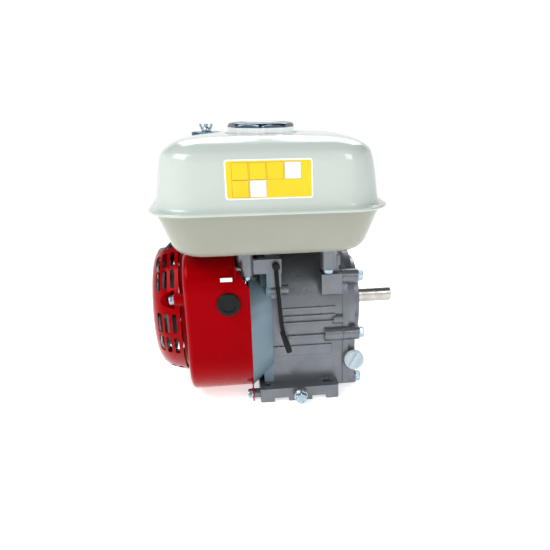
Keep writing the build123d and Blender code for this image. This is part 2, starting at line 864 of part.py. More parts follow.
piston.part.label = "piston"
export_step(piston.part, "parts/piston.step")

with BuildPart() as piston_rings:
    for s in ring_s:
        with BuildSketch(bore_plane(s + 0.1)):
            Circle(piston_r + 0.02)
            Circle(ring_groove_r + 0.3, mode=Mode.SUBTRACT)
            with Locations((piston_r, 0)):
                Rectangle(8, 0.8, mode=Mode.SUBTRACT)
        extrude(amount=1.8)
piston_rings.part.label = "piston_rings"
export_step(piston_rings.part, "parts/piston_rings.step")


rod_width = big_end_width - 2
big_end = Plane(origin=crank_centre + bore_axis * pin_s, x_dir=(0, 1, 0), z_dir=(1, 0, 0))
with BuildPart() as connecting_rod:
    with BuildSketch(big_end.offset(-rod_width / 2)):
        Circle(big_end_r)
        Circle(crankpin_r + running, mode=Mode.SUBTRACT)
    extrude(amount=rod_width)
    with BuildSketch(along_x.offset(-rod_width / 2)):
        Circle(small_end_r)
        Circle(wrist_pin_r + running, mode=Mode.SUBTRACT)
    extrude(amount=rod_width)
    with BuildSketch(bore_plane(pin_s + crankpin_r + 3)):
        Rectangle(11, 20)
    with BuildSketch(bore_plane(wrist_s - wrist_pin_r - 2)):
        Rectangle(11, 14)
    loft()
    with Locations(bore_plane(pin_s)):
        with Locations((0, big_end_r - 1, 0), (0, -big_end_r + 1, 0)):
            Box(12, 6, 16)
connecting_rod.part.label = "connecting_rod"
export_step(connecting_rod.part, "parts/connecting_rod.step")

with BuildPart() as rod_pins:
    with BuildSketch(along_x.offset(-wrist_pin_length / 2)):
        Circle(wrist_pin_r)
        Circle(wrist_pin_r - 3, mode=Mode.SUBTRACT)
    extrude(amount=wrist_pin_length)
    with BuildSketch(big_end.offset(-big_end_width / 2)):
        Circle(crankpin_r)
    extrude(amount=big_end_width)
rod_pins.part.label = "rod_pins"
export_step(rod_pins.part, "parts/rod_pins.step")

# ---------------------------------------------------------------- cylinder head
valve_stations = (("intake", -valve_x, intake_head_r), ("exhaust", valve_x, exhaust_head_r))
valve_head_s = head_start + chamber_depth
spring_seat_s = head_start + 34
rocker_s = head_end + 6
rocker_v = (pushrod_v + valve_v) / 2
rocker_stud_r = 3.5
rocker_thickness = 6.0
port_s = head_start + 20
plug_origin = bore_point(0, -33, head_start + 26)
plug_axis = (bore_axis - down_axis).normalized()
plug_plane = Plane(origin=plug_origin, x_dir=(1, 0, 0), z_dir=(plug_axis.X, plug_axis.Y, plug_axis.Z))

with BuildPart() as head_gasket:
    with BuildSketch(bore_plane(deck)):
        with Locations((0, head_middle_v)):
            RectangleRounded(2 * head_half_x, head_depth_v, 10)
        Circle(bore_r + 1, mode=Mode.SUBTRACT)
        with Locations((0, pushrod_v)):
            RectangleRounded(2 * valve_x + 9, 10, 4, mode=Mode.SUBTRACT)
        with Locations(*head_bolt_places):
            Circle(4 + bolt_clearance, mode=Mode.SUBTRACT)
    extrude(amount=head_gasket_thickness)
head_gasket.part.label = "head_gasket"
export_step(head_gasket.part, "parts/head_gasket.step")

with BuildPart() as cylinder_head:
    with BuildSketch(bore_plane(head_start)):
        with Locations((0, head_middle_v)):
            RectangleRounded(2 * head_half_x, head_depth_v, 10)
    extrude(amount=8)
    with BuildSketch(bore_plane(head_start)):
        with Locations((0, 21)):
            RectangleRounded(2 * head_core_half, 90, 10)
    extrude(amount=head_height)
    for fin in range(4):
        with BuildSketch(bore_plane(head_start + 13 + fin * 7.5)):
            with Locations((0, head_middle_v)):
                RectangleRounded(2 * head_half_x, head_depth_v, 12)
        extrude(amount=fin_thickness)
    with BuildSketch(bore_plane(head_start)):
        with Locations(*head_bolt_places):
            Circle(head_boss_r)
    extrude(amount=head_height - 12)
    for side in (-1, 1):
        with Locations(bore_plane(port_s)):
            with Locations((side * 42, -4, 0)):
                Box(14, 34, 30)
    # chamber, ports, guides, tunnel and bolt holes
    with BuildSketch(bore_plane(head_start)):
        Circle(bore_r - 1)
    extrude(amount=chamber_depth, mode=Mode.SUBTRACT)
    for name, x, head_r in valve_stations:
        side = 1 if x > 0 else -1
        with BuildSketch(bore_plane(head_start + chamber_depth)):
            with Locations((x, valve_v)):
                Circle(head_r - 2)
        extrude(amount=port_s - valve_head_s + 5, mode=Mode.SUBTRACT)
        port_mouth = bore_point(side * 49, valve_v, port_s)
        with BuildSketch(Plane(origin=port_mouth, x_dir=(0, 1, 0), z_dir=(side, 0, 0))):
            Circle(9)
        extrude(amount=-(49 - valve_x), mode=Mode.SUBTRACT)
        with BuildSketch(bore_plane(head_start)):
            with Locations((x, valve_v)):
                Circle(valve_stem_r + running)
        extrude(amount=head_height, mode=Mode.SUBTRACT)
        with BuildSketch(bore_plane(spring_seat_s)):
            with Locations((x, valve_v)):
                Circle(12.5)
        extrude(amount=head_height, mode=Mode.SUBTRACT)
    with BuildSketch(bore_plane(head_start)):
        with Locations((0, pushrod_v)):
            RectangleRounded(2 * valve_x + 9, 10, 4)
    extrude(amount=head_height, mode=Mode.SUBTRACT)
    with BuildSketch(bore_plane(head_start)):
        with Locations(*head_bolt_places):
            Circle(4 + bolt_clearance)
    extrude(amount=head_height, mode=Mode.SUBTRACT)
    with BuildSketch(plug_plane):
        Circle(7 + fit)
    extrude(amount=-34, mode=Mode.SUBTRACT)
    with BuildSketch(plug_plane):
        Circle(14)
    extrude(amount=40, mode=Mode.SUBTRACT)
    with BuildSketch(bore_plane(head_end)):
        with Locations((-valve_x, rocker_v), (valve_x, rocker_v)):
            Circle(rocker_stud_r + fit)
    extrude(amount=-10, mode=Mode.SUBTRACT)
cylinder_head.part.label = "cylinder_head"
export_step(cylinder_head.part, "parts/cylinder_head.step")

head_bolt_seats = []
for x, v in head_bolt_places:
    point = bore_point(x, v, head_start + head_height - 12)
    head_bolt_seats.append(Plane(origin=point, x_dir=(1, 0, 0), z_dir=bore_axis))
with BuildPart() as head_bolts:
    add(hex_bolts(head_bolt_seats, 4, 60, 12, 6, 8))
    # rocker studs with their nuts
    with BuildSketch(bore_plane(head_end - 9.5)):
        with Locations((-valve_x, rocker_v), (valve_x, rocker_v)):
            Circle(rocker_stud_r)
    extrude(amount=rocker_s - head_end + 9.5 + rocker_thickness + 6)
    with BuildSketch(bore_plane(rocker_s + rocker_thickness + 1)):
        with Locations((-valve_x, rocker_v), (valve_x, rocker_v)):
            RegularPolygon(5.5, 6, major_radius=False)
    extrude(amount=4)
head_bolts.part.label = "head_bolts"
export_step(head_bolts.part, "parts/head_bolts.step")

# ---------------------------------------------------------------- valve train
lifter_s = lobe_base_r + valve_lift + gap
lifter_top_s = 48.0
tip_clearance = 0.6
valve_tip_s = rocker_s - tip_clearance
retainer_s = head_end + 1.1
spring_coils = 5
spring_r = 9.0
spring_wire_r = 1.3
spring_pitch = (retainer_s - valve_lift - gap - spring_seat_s - 2 * spring_wire_r) / (spring_coils - 1)

for name, x, head_r in valve_stations:
    side = 1 if x > 0 else -1
    with BuildPart() as valve:
        with BuildSketch(bore_plane(valve_head_s - 2.5)):
            with Locations((x, valve_v)):
                Circle(head_r - 0.8)
        extrude(amount=2.2)
        with BuildSketch(bore_plane(valve_head_s - 2.5)):
            with Locations((x, valve_v)):
                Circle(valve_stem_r)
        extrude(amount=valve_tip_s - valve_head_s + 2.5)
        with BuildSketch(bore_plane(retainer_s)):
            with Locations((x, valve_v)):
                Circle(10.5)
        extrude(amount=2.0)
    valve.part.label = name + "_valve"
    export_step(valve.part, "parts/" + name + "_valve.step")

    with BuildPart() as rocker:
        with BuildSketch(bore_plane(rocker_s)):
            with Locations((x, rocker_v)):
                RectangleRounded(9, pushrod_v - valve_v + 9, 4)
            with Locations((x, rocker_v)):
                Circle(7.5)
        extrude(amount=rocker_thickness)
        with BuildSketch(bore_plane(rocker_s)):
            with Locations((x, rocker_v)):
                Circle(rocker_stud_r + 0.8)
        extrude(amount=rocker_thickness, mode=Mode.SUBTRACT)
    rocker.part.label = name + "_rocker"
    export_step(rocker.part, "parts/" + name + "_rocker.step")

    foot_point = bore_point(side * lobe_x, pushrod_v, lifter_top_s)
    top_point = bore_point(x, pushrod_v, rocker_s - tip_clearance)
    rod_axis = (top_point - foot_point).normalized()
    with BuildPart() as pushrod:
        with BuildSketch(bore_plane(lifter_s)):
            with Locations((side * lobe_x, pushrod_v)):
                Circle(lifter_head_r)
        extrude(amount=3)
        with BuildSketch(bore_plane(lifter_s)):
            with Locations((side * lobe_x, pushrod_v)):
                Circle(lifter_stem_r)
        extrude(amount=lifter_top_s - lifter_s)
        with BuildSketch(Plane(origin=foot_point, x_dir=(1, 0, 0), z_dir=rod_axis)):
            Circle(pushrod_r)
        extrude(amount=(top_point - foot_point).length - 0.3)
    pushrod.part.label = name + "_pushrod"
    export_step(pushrod.part, "parts/" + name + "_pushrod.step")

with BuildPart() as valve_springs:
    for name, x, head_r in valve_stations:
        seat_centre = bore_point(x, valve_v, spring_seat_s + spring_wire_r)
        coil_line = Helix(pitch=spring_pitch, height=spring_pitch * (spring_coils - 1), radius=spring_r,
                          center=seat_centre, direction=bore_plane(0).z_dir)
        with BuildSketch(Plane(origin=coil_line @ 0, z_dir=coil_line % 0)):
            Circle(spring_wire_r)
        sweep(path=coil_line)
valve_springs.part.label = "valve_springs"
export_step(valve_springs.part, "parts/valve_springs.step")



def valve_cover_body(inset):
    """Pressed valve cover as one solid, inset by the sheet."""
    with BuildPart() as body:
        with BuildSketch(bore_plane(head_end)):
            with Locations((0, 21)):
                RectangleRounded(2 * head_core_half - 2 * inset, 86 - 2 * inset, 10 - inset)
        extrude(amount=valve_cover_height - inset)
        bore_axis = Axis(origin=(0, 0, 0), direction=bore_plane(0).z_dir)
        fillet(body.faces().sort_by(bore_axis)[-1].edges(), 7 - inset)
    return body.part


with BuildPart() as valve_cover:
    add(valve_cover_body(0))
    with BuildSketch(bore_plane(head_end)):
        with Locations((0, 21)):
            RectangleRounded(2 * head_core_half + 4, 90, 12)
    extrude(amount=2)
    add(valve_cover_body(sheet), mode=Mode.SUBTRACT)
valve_cover.part.label = "valve_cover"
export_step(valve_cover.part, "parts/valve_cover.step")

# ---------------------------------------------------------------- ignition
with BuildPart() as spark_plug:
    with BuildSketch(plug_plane):
        Circle(7)
    extrude(amount=-14)
    with BuildSketch(plug_plane):
        RegularPolygon(10.4, 6, major_radius=False)
    extrude(amount=11)
    with BuildSketch(plug_plane.offset(11)):
        Circle(6)
    extrude(amount=24)
    with BuildSketch(plug_plane.offset(35)):
        Circle(2)
    extrude(amount=8)
spark_plug.part.label = "spark_plug"
export_step(spark_plug.part, "parts/spark_plug.step")

with BuildPart() as spark_plug_cap:
    with BuildSketch(plug_plane.offset(18)):
        Circle(9.5)
    extrude(amount=34)
    fillet(spark_plug_cap.edges().filter_by(GeomType.CIRCLE), 2)
    with BuildSketch(plug_plane.offset(18)):
        Circle(6 + fit)
    extrude(amount=26, mode=Mode.SUBTRACT)
    with BuildSketch(plug_plane.offset(44)):
        Circle(2 + fit)
    extrude(amount=3, mode=Mode.SUBTRACT)
spark_plug_cap.part.label = "spark_plug_cap"
export_step(spark_plug_cap.part, "parts/spark_plug_cap.step")

coil_angle = math.radians(40)
coil_out = (0, math.cos(coil_angle), math.sin(coil_angle))
coil_side = (0, -math.sin(coil_angle), math.cos(coil_angle))
coil_origin = crank_centre + Vector(*coil_out) * (flywheel_r + 0.8)
coil_plane = Plane(origin=coil_origin + Vector(-78, 0, 0), x_dir=coil_side, z_dir=coil_out)
lead_heading = Vector(0.3, -0.05, 0.953).normalized()
lead_start = Vector(-70, 62, 163) + lead_heading * 14
lead_exit = Plane(origin=lead_start, x_dir=(0, 1, 0), z_dir=lead_heading)
with BuildPart() as ignition_coil:
    with BuildSketch(coil_plane):
        with Locations((-22, 0), (22, 0)):
            Rectangle(10, 16)
    extrude(amount=13)
    with BuildSketch(coil_plane.offset(5)):
        RectangleRounded(30, 24, 3)
    extrude(amount=7)
    with BuildSketch(coil_plane.offset(8)):
        Rectangle(54, 12)
    extrude(amount=5)
    with BuildSketch(lead_exit):
        Circle(5)
    extrude(amount=-14)
ignition_coil.part.label = "ignition_coil"
export_step(ignition_coil.part, "parts/ignition_coil.step")

# ---------------------------------------------------------------- flywheel side
with BuildPart() as flywheel:
    with BuildSketch(across(flywheel_left)):
        with Locations((0, crank_height)):
            Circle(flywheel_r)
    extrude(amount=flywheel_right - flywheel_left)
    with BuildSketch(across(flywheel_left + 8)):
        with Locations((0, crank_height)):
            Circle(flywheel_r - 12)
            Circle(22, mode=Mode.SUBTRACT)
    extrude(amount=flywheel_right - flywheel_left, mode=Mode.SUBTRACT)
    with BuildSketch(across(flywheel_left)):
        with Locations((0, crank_height)):
            Circle(22)
    extrude(amount=flywheel_right - flywheel_left + 6)
    with BuildSketch(across(flywheel_left)):
        with Locations((0, crank_height)):
            Circle(taper_shaft_r + fit)
    extrude(amount=flywheel_right - flywheel_left + 6, mode=Mode.SUBTRACT)
flywheel.part.label = "flywheel"
export_step(flywheel.part, "parts/flywheel.step")

fan_left = flywheel_left - fan_depth
with BuildPart() as cooling_fan:
    with BuildSketch(across(flywheel_left - 2.5)):
        with Locations((0, crank_height)):
            Circle(fan_r)
            Circle(42, mode=Mode.SUBTRACT)
    extrude(amount=2.5)
    with BuildSketch(across(fan_left)):
        with Locations((0, crank_height)):
            with PolarLocations(62, fan_blades):
                with Locations(Rotation(0, 0, 38)):
                    Rectangle(42, 2.2)
    extrude(amount=fan_depth - 2)
cooling_fan.part.label = "cooling_fan"
export_step(cooling_fan.part, "parts/cooling_fan.step")

cup_r = 37.0
cup_depth = 34.0
with BuildPart() as starter_cup:
    with BuildSketch(across(flywheel_left - cup_depth)):
        with Locations((0, crank_height)):
            Circle(cup_r)
    extrude(amount=cup_depth)
    with BuildSketch(across(flywheel_left - cup_depth)):
        with Locations((0, crank_height)):
            Circle(cup_r - 2)
    extrude(amount=cup_depth - 2.5, mode=Mode.SUBTRACT)
    with BuildSketch(across(flywheel_left - 3)):
        with Locations((0, crank_height)):
            Circle(taper_shaft_r + fit)
    extrude(amount=4, mode=Mode.SUBTRACT)
    for step in range(6):
        turn = math.radians(60 * step)
        slot_axis = (0, math.cos(turn), math.sin(turn))
        with BuildSketch(facing(flywheel_left - cup_depth + 12, 0, crank_height, slot_axis)):
            Rectangle(9, 12)
        extrude(amount=cup_r + 2, mode=Mode.SUBTRACT)
starter_cup.part.label = "starter_cup"
export_step(starter_cup.part, "parts/starter_cup.step")

nut_right = flywheel_left - 2.5
with BuildPart() as flywheel_nut:
    with BuildSketch(across(nut_right)):
        with Locations((0, crank_height)):
            Circle(16)
            Circle(taper_shaft_r + fit, mode=Mode.SUBTRACT)
    extrude(amount=-3)
    with BuildSketch(across(nut_right - 3)):
        with Locations((0, crank_height)):
            RegularPolygon(15, 6, major_radius=False)
            Circle(taper_shaft_r + fit, mode=Mode.SUBTRACT)
    extrude(amount=-10)
flywheel_nut.part.label = "flywheel_nut"
export_step(flywheel_nut.part, "parts/flywheel_nut.step")


# ---------------------------------------------------------------- fan cover
def shroud_outline(inset):
    """Fan cover's outline: large low corners and tight top ones."""
    near = cover_near_y + inset
    far = cover_far_y - inset
    low = cover_bottom + inset
    high = cover_top - inset
    with BuildLine() as outline:
        FilletPolyline((near, (low + high) / 2), (near, high), (0, high), radius=cover_top_corner - inset)
        FilletPolyline((near, (low + high) / 2), (near, low), (0, low), radius=cover_low_corner - inset)
        FilletPolyline((0, low), (far, low), (far, (low + high) / 2), radius=cover_low_corner - inset)
        FilletPolyline((0, high), (far, high), (far, (low + high) / 2), radius=cover_top_corner - inset)
    make_face(outline.edges())


def shroud_body(inset):
    """Fan cover as one solid, inset by the sheet."""
    with BuildPart() as body:
        with BuildSketch(across(cover_front + inset)):
            shroud_outline(inset)
        extrude(amount=bell_left - cover_front - inset)
        fillet(body.faces().sort_by(Axis.X)[0].edges(), 7 - inset)
    return body.part


with BuildPart() as fan_cover:
    add(shroud_body(0))
    add(shroud_body(sheet), mode=Mode.SUBTRACT)
    with BuildSketch(across(cover_front)):
        with Locations((0, crank_height)):
            Circle(intake_r)
    extrude(amount=sheet, mode=Mode.SUBTRACT)
    # the top is cut back behind the left tank post
    with BuildSketch(Plane.XZ.offset(-75)):
        with BuildLine():
            Polyline((-72, 240), (-72, 176), (-56.5, 152), (-40, 152), (-40, 240), close=True)
        make_face()
    extrude(amount=190, mode=Mode.SUBTRACT)
    with Locations((-72.75, -84, 172)):
        Box(sheet, 26, 18)
    with Locations((-57.25, -81, 10)):
        Box(sheet, 16, 20)
    with BuildSketch(across(-74)):
        with Locations((post_y - 5, 172)):
            Circle(3 + bolt_clearance)
    extrude(amount=3, mode=Mode.SUBTRACT)
    with BuildSketch(across(-59)):
        with Locations((-80, 7)):
            Circle(3 + bolt_clearance)
    extrude(amount=4, mode=Mode.SUBTRACT)
    with BuildSketch(Plane.XZ.offset(-cover_near_y - 5)):
        with Locations((-82, 135)):
            Circle(11)
    extrude(amount=8, mode=Mode.SUBTRACT)
    # lip round the inlet, broken at the recoil starter's feet
    with BuildSketch(across(cover_front)):
        with Locations((0, crank_height)):
            Circle(intake_r + sheet)
            Circle(intake_r, mode=Mode.SUBTRACT)
        with Locations(*lug_places):
            Circle(lug_foot_r + gap, mode=Mode.SUBTRACT)
    extrude(amount=-inlet_lip)
fan_cover.part.label = "fan_cover"
export_step(fan_cover.part, "parts/fan_cover.step")

with BuildPart() as rubber_plug:
    with BuildSketch(Plane.XZ.offset(-cover_near_y)):
        with Locations((-82, 135)):
            Circle(14)
    extrude(amount=4)
    fillet(rubber_plug.edges().sort_by(Axis.Y)[0], 2)
    with BuildSketch(Plane.XZ.offset(-cover_near_y)):
        with Locations((-82, 135)):
            Circle(11 - fit)
    extrude(amount=-4)
    with BuildSketch(Plane.XZ.offset(-cover_near_y + 4)):
        with Locations((-82, 135)):
            Circle(9)
    extrude(amount=-1.5, mode=Mode.SUBTRACT)
rubber_plug.part.label = "rubber_plug"
export_step(rubber_plug.part, "parts/rubber_plug.step")

# ---------------------------------------------------------------- recoil starter
recoil_axis = Axis((0, 0, crank_height), (1, 0, 0))
handle_side = math.radians(handle_turn)
handle_tip = math.radians(handle_lean)
handle_out = (-math.sin(handle_tip), math.cos(handle_tip) * math.sin(handle_side),
              math.cos(handle_tip) * math.cos(handle_side))
handle_plane = facing(handle_seat_x, handle_seat_r * math.sin(handle_side),
                      crank_height + handle_seat_r * math.cos(handle_side), handle_out)
lug_top = cover_front - lug_height


def recoil_profile(inset):
    """Half section of the recoil housing, in X and the radius."""
    r = recoil_r - inset
    front = recoil_front + inset
    with BuildLine() as outline:
        Polyline((recoil_back, crank_height), (recoil_back, crank_height + r))
        Line((recoil_back, crank_height + r), (front + 24, crank_height + r - 3))
        RadiusArc((front + 24, crank_height + r - 3), (front, crank_height + r - 32), -30)
        Polyline((front, crank_height + r - 32), (front, crank_height), (recoil_back, crank_height))
    make_face(outline.edges())


def pocket_outline(clearance):
    """Plan of the handle's pocket, in the current sketch."""
    RectangleRounded(handle_length + 2 * clearance, handle_width + 2 * clearance, 6)


with BuildPart() as recess_walls:
    with BuildSketch(handle_plane.offset(-recoil_sheet)):
        pocket_outline(pocket_clearance + recoil_sheet)
    extrude(amount=30)
    with BuildSketch(across(lug_top + recoil_sheet)):
        with Locations(*lug_places):
            Circle(scoop_r + 2 * recoil_sheet)
    extrude(amount=-scoop_depth, taper=scoop_taper)
    with BuildSketch(Plane.XZ):
        recoil_profile(0)
    revolve(axis=recoil_axis, mode=Mode.INTERSECT)

with BuildPart() as recoil_housing:
    with BuildSketch(Plane.XZ):
        recoil_profile(0)
    revolve(axis=recoil_axis)
    with BuildSketch(Plane.XZ):
        recoil_profile(recoil_sheet)
    revolve(axis=recoil_axis, mode=Mode.SUBTRACT)
    # side slots: three columns, four rows round each foot
    for lug_turn in lug_turns:
        for slot_turn in slot_turns:
            turn = lug_turn + slot_turn
            if pocket_span[0] < turn < pocket_span[1]:
                continue
            outward = (0, -math.cos(math.radians(turn)), math.sin(math.radians(turn)))
            with BuildSketch(facing(0, 0, crank_height, outward)):
                with Locations(*[(x, 0) for x in slot_columns]):
                    RectangleRounded(slot_width, slot_length, slot_width / 2 - 0.1)
            extrude(amount=recoil_r + 4, mode=Mode.SUBTRACT)
    # front slots round the hub
    with BuildSketch(across(recoil_front - 1)):
        with Locations((0, crank_height)):
            with PolarLocations(38, 12):
                RectangleRounded(18, 6, 2.5)
    extrude(amount=recoil_sheet + 2, mode=Mode.SUBTRACT)
    # reel spindle
    with BuildSketch(across(recoil_front + recoil_sheet)):
        with Locations((0, crank_height)):
            Circle(9)
    extrude(amount=22)
    # pocket of the handle, and the hollows round the bolts of the feet
    add(recess_walls.part)
    with BuildSketch(handle_plane):
        pocket_outline(pocket_clearance)
    extrude(amount=40, mode=Mode.SUBTRACT)
    with BuildSketch(across(lug_top)):
        with Locations(*lug_places):
            Circle(scoop_r)
    extrude(amount=-scoop_depth, taper=scoop_taper, mode=Mode.SUBTRACT)
    # feet that stand on the fan cover
    with BuildSketch(across(cover_front)):
        with Locations(*lug_places):
            Circle(lug_foot_r)
    extrude(amount=-lug_height)
    with BuildSketch(across(cover_front)):
        with Locations(*lug_places):
            Circle(3 + bolt_clearance)
    extrude(amount=-lug_height, mode=Mode.SUBTRACT)
    # hole that the rope leaves through
    with BuildSketch(handle_plane):
        Circle(3)
    extrude(amount=-2 * recoil_sheet, mode=Mode.SUBTRACT)
recoil_housing.part.label = "recoil_housing"
export_step(recoil_housing.part, "parts/recoil_housing.step")

shroud_seats = [
    facing(-73.5, post_y - 5, 172, (-1, 0, 0)),
    facing(-58, -80, 7, (-1, 0, 0)),
    facing(left_post_x, post_y, left_post_low, (0, 0, -1)),
    facing(right_post_x, post_y, right_post_low, (0, 0, -1)),
]
for lug_y, lug_z in lug_places:
    shroud_seats.append(facing(lug_top, lug_y, lug_z, (-1, 0, 0)))
flange_bolts = hex_bolts(shroud_seats, 3, 11, 10, 4.5, 6.5)
flange_bolts.label = "flange_bolts"
export_step(flange_bolts, "parts/flange_bolts.step")

with BuildPart() as recoil_reel:
    with BuildSketch(across(reel_left)):
        with Locations((0, crank_height)):
            Circle(reel_r)
    extrude(amount=2 * reel_flange + rope_width)
    with BuildSketch(across(reel_left + reel_flange)):
        with Locations((0, crank_height)):
            Circle(reel_r + 1)
            Circle(reel_r - rope_depth - 1, mode=Mode.SUBTRACT)
    extrude(amount=rope_width, mode=Mode.SUBTRACT)
    with BuildSketch(across(reel_left)):
        with Locations((0, crank_height)):
            Circle(9 + running)
    extrude(amount=20, mode=Mode.SUBTRACT)
recoil_reel.part.label = "recoil_reel"
export_step(recoil_reel.part, "parts/recoil_reel.step")

rope_r = 2.1
rope_pitch = 4.5
rope_line_r = reel_r - rope_depth + rope_r - 0.9
with BuildPart() as recoil_rope:
    rope_start = Vector(reel_left + reel_flange + rope_r + 0.05, 0, crank_height)
    rope_line = Helix(pitch=rope_pitch, height=rope_width - 2 * rope_r - 0.1, radius=rope_line_r,
                      center=rope_start, direction=(1, 0, 0))
    with BuildSketch(Plane(origin=rope_line @ 0, z_dir=rope_line % 0)):
        Circle(rope_r)
    sweep(path=rope_line)
recoil_rope.part.label = "recoil_rope"
export_step(recoil_rope.part, "parts/recoil_rope.step")

with BuildPart() as recoil_handle:
    with BuildSketch(handle_plane.offset(gap)):
        pocket_outline(0)
    extrude(amount=handle_height)
    fillet(recoil_handle.faces().sort_by(Axis((0, 0, 0), handle_out))[-1].edges(), 4)
recoil_handle.part.label = "recoil_handle"
export_step(recoil_handle.part, "parts/recoil_handle.step")

# ---------------------------------------------------------------- fuel tank
def tank_outline(inset):
    with Locations((tank_centre_x, tank_centre_y)):
        RectangleRounded(tank_length - 2 * inset, tank_depth - 2 * inset, tank_corner - inset)


def tank_body(inset):
    """Both pressed halves of the tank as one solid, inset by the sheet."""
    with BuildPart() as body:
        with BuildSketch(Plane.XY.offset(tank_seam)):
            tank_outline(inset)
        extrude(amount=tank_top - tank_seam - inset, taper=8)
        fillet(body.faces().sort_by(Axis.Z)[-1].edges(), 22 - inset)
        with BuildSketch(Plane.XY.offset(tank_seam)):
            tank_outline(inset)
        extrude(amount=-(tank_seam - tank_bottom - inset), taper=16)
        fillet(body.faces().sort_by(Axis.Z)[0].edges(), 18 - inset)
    return body.part


with BuildPart() as fuel_tank:
    add(tank_body(0))
    with BuildSketch(Plane.XY.offset(tank_seam - tank_flange_thickness / 2)):
        tank_outline(-tank_flange)
    extrude(amount=tank_flange_thickness)
    with BuildSketch(Plane.XY.offset(tank_top - 3)):
        with Locations((filler_x, filler_y)):
            Circle(26)
    extrude(amount=8)
    with BuildSketch(Plane.XZ.offset(-tank_tap_end)):
        with Locations((hose_x, tank_tap_z)):
            Circle(4.5)
    extrude(amount=20)
    add(tank_body(tank_sheet), mode=Mode.SUBTRACT)
    with BuildSketch(Plane.XY.offset(tank_top - 6)):
        with Locations((filler_x, filler_y)):
            Circle(24)
    extrude(amount=12, mode=Mode.SUBTRACT)
fuel_tank.part.label = "fuel_tank"
export_step(fuel_tank.part, "parts/fuel_tank.step")

cap_bottom = tank_top + 2.0
with BuildPart() as fuel_cap:
    with BuildSketch(Plane.XY.offset(cap_bottom)):
        with Locations((filler_x, filler_y)):
            Circle(fuel_cap_r - 1.2)
            with PolarLocations(fuel_cap_r - 9, 8):
                Circle(9)
    extrude(amount=fuel_cap_height)
    fillet(fuel_cap.faces().sort_by(Axis.Z)[-1].edges(), 2.5)
    with BuildSketch(Plane.XY.offset(cap_bottom)):
        with Locations((filler_x, filler_y)):
            Circle(fuel_cap_r - 4)
            Circle(23.5, mode=Mode.SUBTRACT)
    extrude(amount=4, mode=Mode.SUBTRACT)
    with BuildSketch(Plane.XY.offset(cap_bottom)):
        with Locations((filler_x, filler_y)):
            Circle(23.5)
    extrude(amount=-10)
fuel_cap.part.label = "fuel_cap"
export_step(fuel_cap.part, "parts/fuel_cap.step")


# ---------------------------------------------------------------- intake side
intake_y = bore_point(0, valve_v, port_s).Y
intake_z = bore_point(0, valve_v, port_s).Z
port_plane = Plane(origin=(-49, intake_y, intake_z), x_dir=(0, 1, 0), z_dir=(-1, 0, 0))
insulator_thickness = 8.0
carb_length = 34.0

with BuildPart() as inlet_insulator:
    with BuildSketch(port_plane):
        RectangleRounded(34, 30, 5)
        Circle(9, mode=Mode.SUBTRACT)
    extrude(amount=insulator_thickness)
inlet_insulator.part.label = "inlet_insulator"
export_step(inlet_insulator.part, "parts/inlet_insulator.step")

carb_middle = -49 - insulator_thickness - carb_length / 2
with BuildPart() as carburettor:
    with BuildSketch(port_plane.offset(insulator_thickness)):
        RectangleRounded(34, 30, 5)
    extrude(amount=5)
    with BuildSketch(port_plane.offset(insulator_thickness)):
        Circle(14)
    extrude(amount=carb_length)
    with BuildSketch(port_plane.offset(insulator_thickness + carb_length - 5)):
        RectangleRounded(44, 38, 5)
    extrude(amount=5)
    with BuildSketch(Plane.XY.offset(intake_z)):
        with Locations((-49 - insulator_thickness - carb_length / 2, intake_y)):
            Circle(13)
    extrude(amount=-24)
    with BuildSketch(Plane.XY.offset(intake_z - 22)):
        with Locations((-49 - insulator_thickness - carb_length / 2, intake_y)):
            Circle(19)
    extrude(amount=-20, taper=6)
    with BuildSketch(Plane.XZ.offset(-intake_y - 24)):
        with Locations((carb_middle, intake_z - 16)):
            Circle(7)
    extrude(amount=24)
    with Locations((carb_middle + 4, intake_y - 14, hose_drop_z - 12)):
        Box(8, 22, 6)
    with BuildSketch(Plane.XY.offset(hose_drop_z - 10)):
        with Locations((hose_x, hose_drop_y)):
            Circle(3.5)
    extrude(amount=10)
    with BuildSketch(port_plane.offset(insulator_thickness)):
        Circle(9)
    extrude(amount=carb_length, mode=Mode.SUBTRACT)
    with BuildSketch(Plane.XY.offset(intake_z - 12)):
        with Locations((carb_middle + 9, intake_y), (carb_middle - 8, intake_y)):
            Circle(2.5 + running)
    extrude(amount=40, mode=Mode.SUBTRACT)
    with BuildSketch(Plane.XZ.offset(-intake_y - 24)):
        with Locations((carb_middle, intake_z - 16)):
            Circle(2 + running)
    extrude(amount=9, mode=Mode.SUBTRACT)
carburettor.part.label = "carburettor"
export_step(carburettor.part, "parts/carburettor.step")

